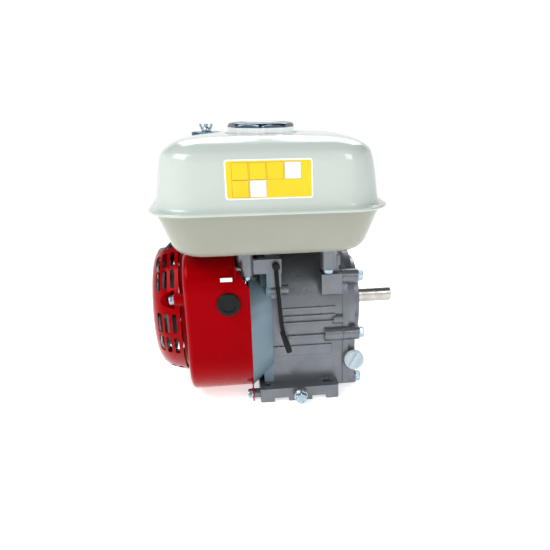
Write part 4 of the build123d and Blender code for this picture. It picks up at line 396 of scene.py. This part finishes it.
# %% Finishes for the solids
finish_of = {
    crankcase_finish: ["crankcase"],
    cast_aluminium: ["side_cover", "cylinder_head", "carburettor"],
    turned_steel: ["crankshaft", "camshaft", "rod_pins", "intake_valve", "exhaust_valve", "intake_rocker",
                   "exhaust_rocker", "intake_pushrod", "exhaust_pushrod", "valve_springs",
                   "bearing_outer_rings", "bearing_cages", "starter_cup", "throttle_lever", "choke_lever",
                   "fuel_valve_lever"],
    zinc_plate: ["side_cover_bolts", "flange_bolts", "head_bolts", "drain_bolts", "flywheel_nut",
                 "air_cleaner_wing_nut"],
    cast_iron: ["flywheel", "cylinder_sleeve", "piston_rings"],
    piston_alloy: ["piston", "connecting_rod"],
    red_paint: ["fan_cover", "recoil_housing"],
    cream_enamel: ["fuel_tank"],
    black_paint: ["valve_cover", "air_cleaner_cover"],
    tray_finish: ["air_cleaner_base"],
    chrome_plate: ["fuel_cap"],
    black_rubber: ["rubber_plug", "wire_grommet", "spark_plug_cap", "fuel_hose", "ignition_lead", "oil_seals",
                   "stop_wire"],
    black_plastic: ["recoil_handle", "ignition_coil", "cooling_fan", "inlet_insulator"],
    pale_plastic: ["oil_filler_cap", "oil_dipstick_cap"],
    ceramic: ["spark_plug"],
    gasket_fibre: ["side_cover_gasket", "head_gasket"],
    rope_fibre: ["recoil_rope"],
    filter_foam: ["air_filter"],
    hot_steel: ["muffler", "muffler_guard"],
    moulded_plastic: ["recoil_reel", "governor_gear"],
}
for material, names in finish_of.items():
    for name in names:
        solid = bpy.data.objects[name]
        solid.data.materials.clear()
        solid.data.materials.append(material)
print("finishes set on", sum(len(names) for names in finish_of.values()), "solids")

# %% [markdown]
# The wire's end is a soft rubber sleeve that grips the wire and opens into a socket for a plug. Its section
# is turned round the wire's last stretch, so it always points the way the wire hangs.

# %% The wire's finish and its end sleeve
wire_data.materials.append(black_rubber)
sleeve_r, sleeve_wall, sleeve_steps = 3.7, 1.1, 32
socket_r = sleeve_r - sleeve_wall
sleeve_profile = [(-27.0, wire_r), (-26.0, 3.2), (-15.0, 3.4), (-13.5, sleeve_r), (1.2, sleeve_r),
                  (1.6, sleeve_r - 0.4), (1.6, socket_r), (-2.0, socket_r), (-2.0, 0.05)]
sleeve_end = Vector(wire_points[-1])
sleeve_way = (sleeve_end - Vector(wire_points[-2])).normalized()
sleeve_turn = sleeve_way.to_track_quat("Z", "Y")
sleeve_points = []
for along, radius in sleeve_profile:
    for step in range(sleeve_steps):
        turn = 2 * math.pi * step / sleeve_steps
        off_axis = Vector((radius * math.cos(turn), radius * math.sin(turn), along))
        sleeve_points.append(tuple(sleeve_end + sleeve_turn @ off_axis))
sleeve = mesh_piece("wire_end_sleeve", sleeve_points, ring_faces(len(sleeve_profile), sleeve_steps))
dress(sleeve, black_rubber, "frame")
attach(wire, "frame")
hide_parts("stop_wire")
print("sleeve faces:", len(sleeve.data.polygons))

# %% [markdown]
# ## The fuel tank
#
# The tank is two pressed shells joined in a rolled seam. Each level of the press is a rounded rectangle, so
# the shape is a loft: rings of the same number of points at rising heights, each drawn in by an inset. Near
# the top the rings turn from the rectangle to the circle of the filler's recess, and the cap sits in it.

# %% One level of the tank
tank_centre = (-29.5, -50.0)
tank_half = (126.0, 89.0)
filler = (-33.0, -42.0)
side_steps = 14
corner_drop = 3.2
# The drop grows to the left, the rear and the top. These are its starts along -X, Y and Z, and each climb.
drop_starts = (86, -60, 309)
drop_runs = (30, 60, 8)


def ramp(value, start, run):
    """Nought up to the start, one after the run, and a straight climb between them."""
    return min(1, max(0, (value - start) / run))


def rounded_rectangle(half_x, half_y, corner):
    """Points round a rounded rectangle, the same number on each corner and each side."""
    ring = []
    for quarter, (sign_x, sign_y) in enumerate(((1, 1), (-1, 1), (-1, -1), (1, -1))):
        for step in range(side_steps + 1):
            angle = math.radians(90 * quarter + 90 * step / side_steps)
            ring.append((sign_x * (half_x - corner) + corner * math.cos(angle),
                         sign_y * (half_y - corner) + corner * math.sin(angle)))
        next_x, next_y = ((-1, 1), (-1, -1), (1, -1), (1, 1))[quarter]
        start_x, start_y = ring[-1]
        turned = math.radians(90 * quarter + 90)
        end_x = next_x * (half_x - corner) + corner * math.cos(turned)
        end_y = next_y * (half_y - corner) + corner * math.sin(turned)
        for step in range(1, side_steps):
            part = step / side_steps
            ring.append((start_x + (end_x - start_x) * part, start_y + (end_y - start_y) * part))
    return ring


def tank_ring(inset, z, corner, turn_round=0.0, round_r=43.0):
    """One level of the tank: a rounded rectangle that can turn into the filler's circle."""
    points = []
    for x, y in rounded_rectangle(tank_half[0] - inset, tank_half[1] - inset, corner):
        heading = math.atan2(y, x)
        round_x = filler[0] + round_r * math.cos(heading)
        round_y = filler[1] + round_r * math.sin(heading)
        flat_x, flat_y = tank_centre[0] + x, tank_centre[1] + y
        sunk = corner_drop * (1 - turn_round)
        for value, start, run in zip((-flat_x, flat_y, z), drop_starts, drop_runs):
            sunk *= ramp(value, start, run)
        points.append((flat_x + (round_x - flat_x) * turn_round, flat_y + (round_y - flat_y) * turn_round,
                       z - sunk))
    return points


# %% [markdown]
# Each profile is a list of insets and heights. The lower shell curls in under the tank, the upper one has a
# nearly straight wall and a wide shoulder, and the two meet in the rolled seam at 247 to 251 mm. The dome's
# left rear corner is pressed a little lower than the rest, towards the air cleaner.

# %% Tank shells
lower_profile = [(70, 196.0), (45, 195.2), (33, 195.6), (26, 197.2), (20.5, 200.2), (16.5, 204.5),
                 (13.8, 209.5), (10.2, 219), (6.2, 230), (3.0, 239), (1.2, 243.5), (0.4, 245.6),
                 (-1.2, 246.9), (-4.8, 247.2), (-6.2, 247.7), (-6.5, 249.0)]
upper_profile = [(-6.2, 250.2), (-4.8, 250.8), (-1.4, 251.0), (0.6, 252.0), (1.8, 254.6), (2.7, 259),
                 (4.2, 272), (6.0, 287), (8.0, 299), (9.6, 305.5), (11.2, 309.2), (12.4, 311.0),
                 (14.6, 313.0), (18.2, 315.8), (23.5, 318.8), (30, 321.2)]
dome_inset, dome_corner = 30, 25.5
dome_profile = [(0.12, 322.7), (0.28, 324.2), (0.48, 325.3), (0.7, 325.9), (0.88, 326.1), (0.97, 326.1)]
filler_profile = [(42.3, 325.6), (41.4, 324.2), (40.8, 321.6), (39.8, 319.9), (37, 319.4), (28, 319.4),
                  (26.6, 320.0), (26.0, 322.4), (25.0, 323.2), (24.0, 322.4), (24.0, 300.0), (12.0, 299.0)]
open_corner, tight_corner, corner_share = 42.0, 18.0, 0.55
levels = [tank_ring(inset, z, max(tight_corner, open_corner - corner_share * inset))
          for inset, z in lower_profile + upper_profile]
levels += [tank_ring(dome_inset, z, dome_corner, part) for part, z in dome_profile]
levels += [tank_ring(dome_inset, z, dome_corner, 1.0, round_r) for round_r, z in filler_profile]
tank_points = [point for level in levels for point in level]
tank = mesh_piece("tank_shells", tank_points, ring_faces(len(levels), len(levels[0])))
dress(tank, cream_enamel, "frame")
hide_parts("fuel_tank")
print("tank faces:", len(tank.data.polygons))

# %% [markdown]
# ## Bolts
#
# The covers are held by flanged hexagon bolts. One bolt is modelled with its chamfered corners and dished
# top, and Geometry Nodes set a copy on each seat, turned to the seat's own direction. The copies are then
# made real.


# %% Bolt mesh and the tree that places it
def bolt_mesh(name, shank_r, shank_length, across_flats, head_height, flange_r):
    """A flanged hexagon bolt along +Z, seated at z = 0, in millimetres."""
    half_flats = across_flats / 2
    corner = half_flats / math.cos(math.radians(30))
    washer_face = 1.4
    top = head_height + washer_face
    round_rings = [(shank_r - 0.6, -shank_length), (shank_r, -shank_length + 0.6), (shank_r, 0),
                   (flange_r, 0), (flange_r, 0.9), (flange_r - 0.5, washer_face)]
    hexagon_rings = [(corner + 0.4, 1.7), (corner, 2.0), (corner, top - 1.1), (half_flats * 0.95, top),
                     (half_flats * 0.72, top), (half_flats * 0.6, top - 0.5)]
    steps = 48
    points = []
    for place, (radius, z) in enumerate(round_rings + hexagon_rings):
        for step in range(steps):
            angle = 2 * math.pi * step / steps
            off = (angle + math.pi / 6) % (math.pi / 3) - math.pi / 6
            flat = half_flats / math.cos(off)
            r = min(radius, flat) if place >= len(round_rings) else radius
            points.append((r * math.cos(angle), r * math.sin(angle), z))
    faces = ring_faces(len(round_rings + hexagon_rings), steps)
    return mesh_piece(name, points, faces, smooth=False)


def place_copies(name, pattern, seats, material):
    """Geometry Nodes copy the pattern to each seat, +Z along the seat's axis; the result becomes a mesh."""
    tree = bpy.data.node_groups.new(name + "_tree", "GeometryNodeTree")
    tree.interface.new_socket("Geometry", in_out="INPUT", socket_type="NodeSocketGeometry")
    tree.interface.new_socket("Pattern", in_out="INPUT", socket_type="NodeSocketObject")
    tree.interface.new_socket("Finish", in_out="INPUT", socket_type="NodeSocketMaterial")
    tree.interface.new_socket("Size", in_out="INPUT", socket_type="NodeSocketFloat")
    tree.interface.new_socket("Geometry", in_out="OUTPUT", socket_type="NodeSocketGeometry")
    given = node(tree, "NodeGroupInput")
    facing = node(tree, "GeometryNodeInputNamedAttribute", {"data_type": "FLOAT_VECTOR"}, Name="axis")
    turned = node(tree, "FunctionNodeAlignRotationToVector", {"axis": "Z"},
                  Vector=facing.outputs["Attribute"])
    shape = node(tree, "GeometryNodeObjectInfo", Object=given.outputs["Pattern"])
    copies = node(tree, "GeometryNodeInstanceOnPoints", Points=given.outputs["Geometry"],
                  Instance=shape.outputs["Geometry"], Rotation=turned.outputs["Rotation"],
                  Scale=given.outputs["Size"])
    real = node(tree, "GeometryNodeRealizeInstances", Geometry=copies.outputs["Instances"])
    painted = node(tree, "GeometryNodeSetMaterial", Geometry=real.outputs["Geometry"],
                   Material=given.outputs["Finish"])
    node(tree, "NodeGroupOutput", Geometry=painted.outputs["Geometry"])
    points = bpy.data.meshes.new(name)
    points.from_pydata([tuple(Vector(place) * MM) for place, axis in seats], [], [])
    axes = points.attributes.new("axis", "FLOAT_VECTOR", "POINT")
    for value, (place, axis) in zip(axes.data, seats):
        value.vector = Vector(axis).normalized()
    piece = bpy.data.objects.new(name, points)
    bpy.context.scene.collection.objects.link(piece)
    modifier = piece.modifiers.new("copies", "NODES")
    modifier.node_group = tree
    identifier = {item.name: item.identifier for item in tree.interface.items_tree if item.in_out == "INPUT"}
    modifier[identifier["Pattern"]] = pattern
    modifier[identifier["Finish"]] = material
    modifier[identifier["Size"]] = 1.0
    made = bpy.data.meshes.new_from_object(piece.evaluated_get(bpy.context.evaluated_depsgraph_get()))
    piece.modifiers.remove(modifier)
    piece.data = made
    bpy.data.objects.remove(pattern)
    return piece


# %% [markdown]
# Six long bolts hold the side cover. Their seats are the bosses round the cover's rim, and their heads
# point along the shaft.

# %% Side cover bolts
cover_face_x = 80.0
cover_bosses = [(-62, 152), (-74, 80), (-55, 9), (62, 152), (74, 80), (55, 9)]
side_seats = [((cover_face_x, y, z), (1, 0, 0)) for y, z in cover_bosses]
screw = bolt_mesh("screw", shank_r=4, shank_length=34, across_flats=12, head_height=5.5, flange_r=8)
side_bolts = place_copies("cover_screws", screw, side_seats, zinc_plate)
dress(side_bolts, zinc_plate, "frame")
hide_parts("side_cover_bolts")

# %% [markdown]
# ## The label places
#
# The near wall of the tank carries a plain yellow vinyl label with a white edge and bare outlined tiles.
# Each layer is a thin plate that follows the wall, about a tenth of a millimetre above the last.


# %% Label plates
def wall_y(z):
    """Near wall of the tank at a height, from the same profile as the shells."""
    for (inset_a, z_a), (inset_b, z_b) in zip(upper_profile, upper_profile[1:]):
        if z_a <= z <= z_b:
            inset = inset_a + (inset_b - inset_a) * (z - z_a) / (z_b - z_a)
            return tank_centre[1] - tank_half[1] + inset
    return tank_centre[1] - tank_half[1]


def label_plate(name, x_low, x_high, z_low, z_high, corner, lift, thickness=0.12):
    """A rounded plate on the near wall, lifted off it by a little."""
    turns = [math.radians(15 * step) for step in range(7)]
    heights = [z_low + corner * (1 - math.cos(turn)) for turn in turns]
    heights += [z_high - corner * (1 - math.cos(turn)) for turn in turns]
    heights += [z for inset, z in upper_profile if z_low + corner < z < z_high - corner]
    points, faces = [], []
    heights = sorted(set(heights))
    for z in heights:
        into = max(z_low + corner - z, z - z_high + corner, 0)
        drawn_in = corner - math.sqrt(max(0, corner ** 2 - into ** 2))
        points.append((x_low + drawn_in, wall_y(z) - lift, z))
        points.append((x_high - drawn_in, wall_y(z) - lift, z))
    for row in range(len(heights) - 1):
        faces.append((2 * row, 2 * row + 1, 2 * row + 3, 2 * row + 2))
    plate = mesh_piece(name, points, faces, smooth=False)
    solidify = plate.modifiers.new("thickness", "SOLIDIFY")
    solidify.thickness = thickness * MM
    solidify.offset = 0
    return plate


label_left, label_right, label_low, label_high = -78, 15, 263.0, 304.0
label_border, label_corner, field_corner = 1.6, 3.0, 2.0
edge_lift, field_lift, line_lift, tile_lift = 0.12, 0.26, 0.36, 0.46
edge = label_plate("label_edge", label_left, label_right, label_low, label_high, label_corner, edge_lift)
dress(edge, white_vinyl, "frame")
field = label_plate("label_field", label_left + label_border, label_right - label_border,
                    label_low + label_border, label_high - label_border, field_corner, field_lift)
dress(field, label_vinyl, "frame")

# %% [markdown]
# The tiles stand in two rows, four above and two below, and one in each row is white. Each is a small plate
# over a slightly larger dark one, which leaves a thin dark outline round it.

# %% Label tiles
tile, tile_left, tile_pitch = 17.0, -70.5, 18.6
tile_outline, line_corner, tile_corner = 0.3, 0.3, 0.2
tile_rows = [(283.6, 4, 3), (265.6, 2, 1)]
tile_places = [(tile_left + tile_pitch * column, z, column == white_column)
               for z, columns, white_column in tile_rows for column in range(columns)]
for place, (x, z, white) in enumerate(tile_places):
    line = label_plate(f"tile_line_{place}", x - tile_outline, x + tile + tile_outline, z - tile_outline,
                       z + tile + tile_outline, line_corner, line_lift)
    dress(line, dark_ink, "frame")
    plate = label_plate(f"tile_{place}", x, x + tile, z, z + tile, tile_corner, tile_lift)
    dress(plate, white_vinyl if white else label_vinyl, "frame")
print("label tiles:", len(tile_places))

# %% [markdown]
# ## The other bolts
#
# The fan cover, the tank and the starter are held by small bolts. The starter has three feet, a third of a
# turn apart, so their seats are worked out from one radius. Two short bolts, each with a flat washer, close
# the oil drains.

# %% Flange and drain bolts
starter_foot_x, starter_foot_r, shaft_z = -146, 83.0, 106
flange_seats = [((-73.5, -80, 172), (-1, 0, 0)), ((-58, -80, 7), (-1, 0, 0)), ((-60, -75, 163), (0, 0, -1)),
                ((41, -75, 167), (0, 0, -1))]
for turn in (22, 142, 262):
    angle = math.radians(turn)
    foot_y, foot_z = -starter_foot_r * math.cos(angle), shaft_z + starter_foot_r * math.sin(angle)
    flange_seats.append(((starter_foot_x, foot_y, foot_z), (-1, 0, 0)))
small_screw = bolt_mesh("small_screw", shank_r=3, shank_length=11, across_flats=10, head_height=4.5,
                        flange_r=6.5)
small_bolts = place_copies("flange_screws", small_screw, flange_seats, zinc_plate)
dress(small_bolts, zinc_plate, "frame")
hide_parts("flange_bolts")
drain_x, drain_z, drain_face_y, washer_height = 1.3, 10, 102, 2.0
drain_seats = [((drain_x, side * (drain_face_y + washer_height), drain_z), (0, side, 0)) for side in (-1, 1)]
drain_screw = bolt_mesh("drain_screw", shank_r=5, shank_length=18, across_flats=13, head_height=7, flange_r=8)
plugs = place_copies("drain_screws", drain_screw, drain_seats, zinc_plate)
dress(plugs, zinc_plate, "frame")


# %% Drain washers
def turned_ring(name, centre, rings, steps, smooth=True):
    """A closed ring turned round an upright axis, from its half section in millimetres."""
    turns = [2 * math.pi * step / steps for step in range(steps)]
    points = [(centre[0] + radius * math.cos(turn), centre[1] + radius * math.sin(turn), z)
              for radius, z in rings for turn in turns]
    return mesh_piece(name, points, ring_faces(len(rings), steps, closed=True), smooth)


washer_inner_r, washer_r, softening = 5.3, 8.5, 0.3
washer_rings = [(washer_inner_r, 0.0), (washer_r - softening, 0.0), (washer_r, softening),
                (washer_r, washer_height - softening), (washer_r - softening, washer_height),
                (washer_inner_r, washer_height)]
washer_seats = [((drain_x, side * drain_face_y, drain_z), (0, side, 0)) for side in (-1, 1)]
washer = turned_ring("washer", (0, 0), washer_rings, 40, smooth=False)
washers = place_copies("drain_washers", washer, washer_seats, turned_steel)
dress(washers, turned_steel, "frame")
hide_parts("drain_bolts")
print("small bolts:", len(flange_seats), "drain bolts:", len(drain_seats))

# %% [markdown]
# ## The fuel cap
#
# The cap is a deep-drawn cup, chrome plated, with eight soft grip lobes pressed into its side. A ring is
# turned round the filler's axis and its radius waves in and out; the wave fades towards the rolled top
# edge.

# %% Fuel cap
cap_steps = 160
lobe_count, lobe_height, lobe_limit, lobe_turn = 8, 1.3, 0.9, 0.6
hollow, second_wave = 0.4, 0.25
cap_rings = [(23.4, 310.2, 0), (23.4, 320.3, 0), (35.2, 320.3, 0.0), (36.6, 320.6, 0.6), (37.4, 321.4, 1.0),
             (37.6, 324, 1.0), (37.6, 330, 1.0), (37.4, 333.5, 0.85), (36.9, 335.6, 0.55), (35.8, 336.8, 0.3),
             (34.2, 337.2, 0.15), (32.6, 336.9, 0.05), (31.0, 336.3, 0), (20, 336.0, 0), (8, 336.0, 0)]
cap_points = []
for radius, z, wave in cap_rings:
    for step in range(cap_steps):
        angle = 2 * math.pi * step / cap_steps
        lobe = lobe_count * angle + lobe_turn
        swell = math.cos(lobe) + second_wave * math.cos(2 * lobe) - hollow
        r = radius + min(lobe_height * wave * swell, lobe_limit)
        cap_points.append((filler[0] + r * math.cos(angle), filler[1] + r * math.sin(angle), z))
cap = mesh_piece("cap_shell", cap_points, ring_faces(len(cap_rings), cap_steps))
dress(cap, chrome_plate, "tank_cap")
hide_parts("fuel_cap")
print("cap faces:", len(cap.data.polygons))

# %% [markdown]
# ## The air cleaner's wing nut
#
# The nut is a hub with two pressed wings, and it sits on a wide dished disc that spreads its force over the
# lid. The disc and the hub are turned, so each is one closed ring; each wing is a rounded plate that leans
# outwards.

# %% Wing nut
nut_steps = 96
disc_rings = [(3.4, 308.4), (13.5, 308.4), (14.5, 309.0), (18.6, 313.6), (20.2, 315.4), (20.5, 316.2),
              (20.5, 318.4), (20.1, 319.2), (19.2, 319.6), (8.0, 319.9), (3.4, 319.9)]
disc = dress(turned_ring("nut_disc", cleaner_place, disc_rings, nut_steps), blued_steel, "lid_nut")
hub_rings = [(3.4, 320.0), (6.2, 320.0), (6.5, 320.5), (6.1, 323.0), (5.2, 325.4), (4.4, 326.0), (3.4, 326.0)]
dress(turned_ring("nut_hub", cleaner_place, hub_rings, nut_steps), zinc_plate, "lid_nut")
half_wing, wing_rounding = 1.2, 0.5
wing_outline = [(4.4, 320.9), (5.8, 321.2), (7.6, 324.2), (9.2, 328.0), (9.4, 329.6), (8.6, 330.6),
                (7.2, 330.6), (6.0, 329.2), (4.8, 326.0)]
for side in (-1, 1):
    wing_points = [(cleaner_place[0] + side * reach, cleaner_place[1] + depth, z)
                   for depth in (-half_wing, half_wing) for reach, z in wing_outline]
    count = len(wing_outline)
    wing_faces = [tuple(range(count)), tuple(range(2 * count - 1, count - 1, -1))]
    wing_faces += [(k, (k + 1) % count, count + (k + 1) % count, count + k) for k in range(count)]
    wing = mesh_piece(f"nut_wing_{side + 1}", wing_points, wing_faces, smooth=False)
    softened = wing.modifiers.new("softened", "BEVEL")
    softened.width = wing_rounding * MM
    softened.segments = 2
    dress(wing, zinc_plate, "lid_nut")
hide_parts("air_cleaner_wing_nut")
print("wing nut disc, width:", 2 * max(radius for radius, z in disc_rings), "mm")

# %% [markdown]
# ## The starter handle and its rope
#
# The handle is a moulded grip with cross ribs. Its section is a rounded rectangle that shrinks towards both
# ends, and the ribs are a wave along the outer side. It leans out from the starter, so its three axes are
# worked out first.

# %% Handle
grip_turn, grip_lean = math.radians(7), math.radians(45)
guide_x, guide_r, seat_gap = -149.7, 71, 0.3
grip_out = Vector((-math.sin(grip_lean), math.cos(grip_lean) * math.sin(grip_turn),
                   math.cos(grip_lean) * math.cos(grip_turn)))
grip_along = (Vector((0, 1, 0)) - grip_out * grip_out.y).normalized()
grip_across = grip_out.cross(grip_along)
guide_y, guide_z = guide_r * math.sin(grip_turn), shaft_z + guide_r * math.cos(grip_turn)
grip_seat = Vector((guide_x, guide_y, guide_z)) + grip_out * seat_gap
grip_half_length, grip_half_width, grip_half_height = 30.0, 9.5, 5.25
end_share, end_roundness, squareness = 0.3, 9, 0.4
rib_pitch, rib_depth, rib_reach = 2.7, 0.6, 0.9
rib_edge, rib_fade = 0.1, 3
stations, grip_steps = 121, 96
grip_points = []
for station in range(stations):
    along = -1 + 2 * station / (stations - 1)
    shrink = max(end_share, (1 - abs(along) ** end_roundness) ** 0.5)
    wave = 1 - math.cos(2 * math.pi * along * grip_half_length / rib_pitch)
    for step in range(grip_steps):
        angle = 2 * math.pi * step / grip_steps
        c, s = math.cos(angle), math.sin(angle)
        wide = grip_half_width * shrink * math.copysign(abs(c) ** squareness, c)
        high = grip_half_height * shrink * math.copysign(abs(s) ** squareness, s)
        if s > rib_edge and abs(along) < rib_reach:
            high -= rib_depth * wave / 2 * min(1, (s - rib_edge) * rib_fade)
        off_seat = grip_across * wide + grip_along * (grip_half_length * along)
        grip_points.append(tuple(grip_seat + off_seat + grip_out * (grip_half_height + high)))
grip = mesh_piece("starter_grip", grip_points, ring_faces(stations, grip_steps))
dress(grip, black_plastic, "pull")
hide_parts("recoil_handle")
print("grip ribs:", int(2 * rib_reach * grip_half_length / rib_pitch))

# %% [markdown]
# The rope lies in the reel's groove for one turn. Four strands wind round the middle line of the rope, and
# each one is a thin tube whose rings stand square to the rope. Modelled strands catch the light where a
# bump would look flat.

# %% Rope strands
rope_turns, rope_stations = 1.04, 300
rope_start_x, rope_pitch, rope_line_r = -162.85, 4.5, 52.2
strand_count, strand_sides, lay_length = 4, 8, 10.0
strand_off, strand_r = 0.95, 1.1
turn_length = 2 * math.pi * rope_line_r
sideways = Vector((1, 0, 0))
strands_points, strands_faces = [], []
for strand in range(strand_count):
    base = len(strands_points)
    for station in range(rope_stations):
        turn = rope_turns * station / (rope_stations - 1)
        angle = 2 * math.pi * turn
        outward = Vector((0, -math.cos(angle), math.sin(angle)))
        core = Vector((rope_start_x + rope_pitch * turn, 0, shaft_z)) + outward * rope_line_r
        twist = 2 * math.pi * (turn * turn_length / lay_length + strand / strand_count)
        middle = core + (outward * math.cos(twist) + sideways * math.sin(twist)) * strand_off
        for corner in range(strand_sides):
            around = 2 * math.pi * corner / strand_sides
            off_middle = (outward * math.cos(around) + sideways * math.sin(around)) * strand_r
            strands_points.append(tuple(middle + off_middle))
    for face in ring_faces(rope_stations, strand_sides):
        strands_faces.append(tuple(base + corner for corner in face))
rope = dress(mesh_piece("rope_strands", strands_points, strands_faces), rope_fibre, "reel")
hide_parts("recoil_rope")
print("rope in the reel:", round(rope_turns * turn_length), "mm")

# %% [markdown]
# ## The sticker on the fan cover
#
# A small plain white sticker lies on the near face of the fan cover, beside the tank post. One flat face is
# enough, and Solidify gives it its thickness.

# %% Cover sticker
sticker_left, sticker_right, sticker_low, sticker_high = -90, -76, 162.6, 167.4
sticker_y, sticker_thickness = -98.15, 0.2
sticker_corners = [(sticker_left, sticker_y, sticker_low), (sticker_right, sticker_y, sticker_low),
                   (sticker_right, sticker_y, sticker_high), (sticker_left, sticker_y, sticker_high)]
sticker = mesh_piece("cover_sticker", sticker_corners, [(0, 1, 2, 3)], smooth=False)
thick = sticker.modifiers.new("thickness", "SOLIDIFY")
thick.thickness = sticker_thickness * MM
thick.offset = 0
dress(sticker, white_vinyl, "frame")
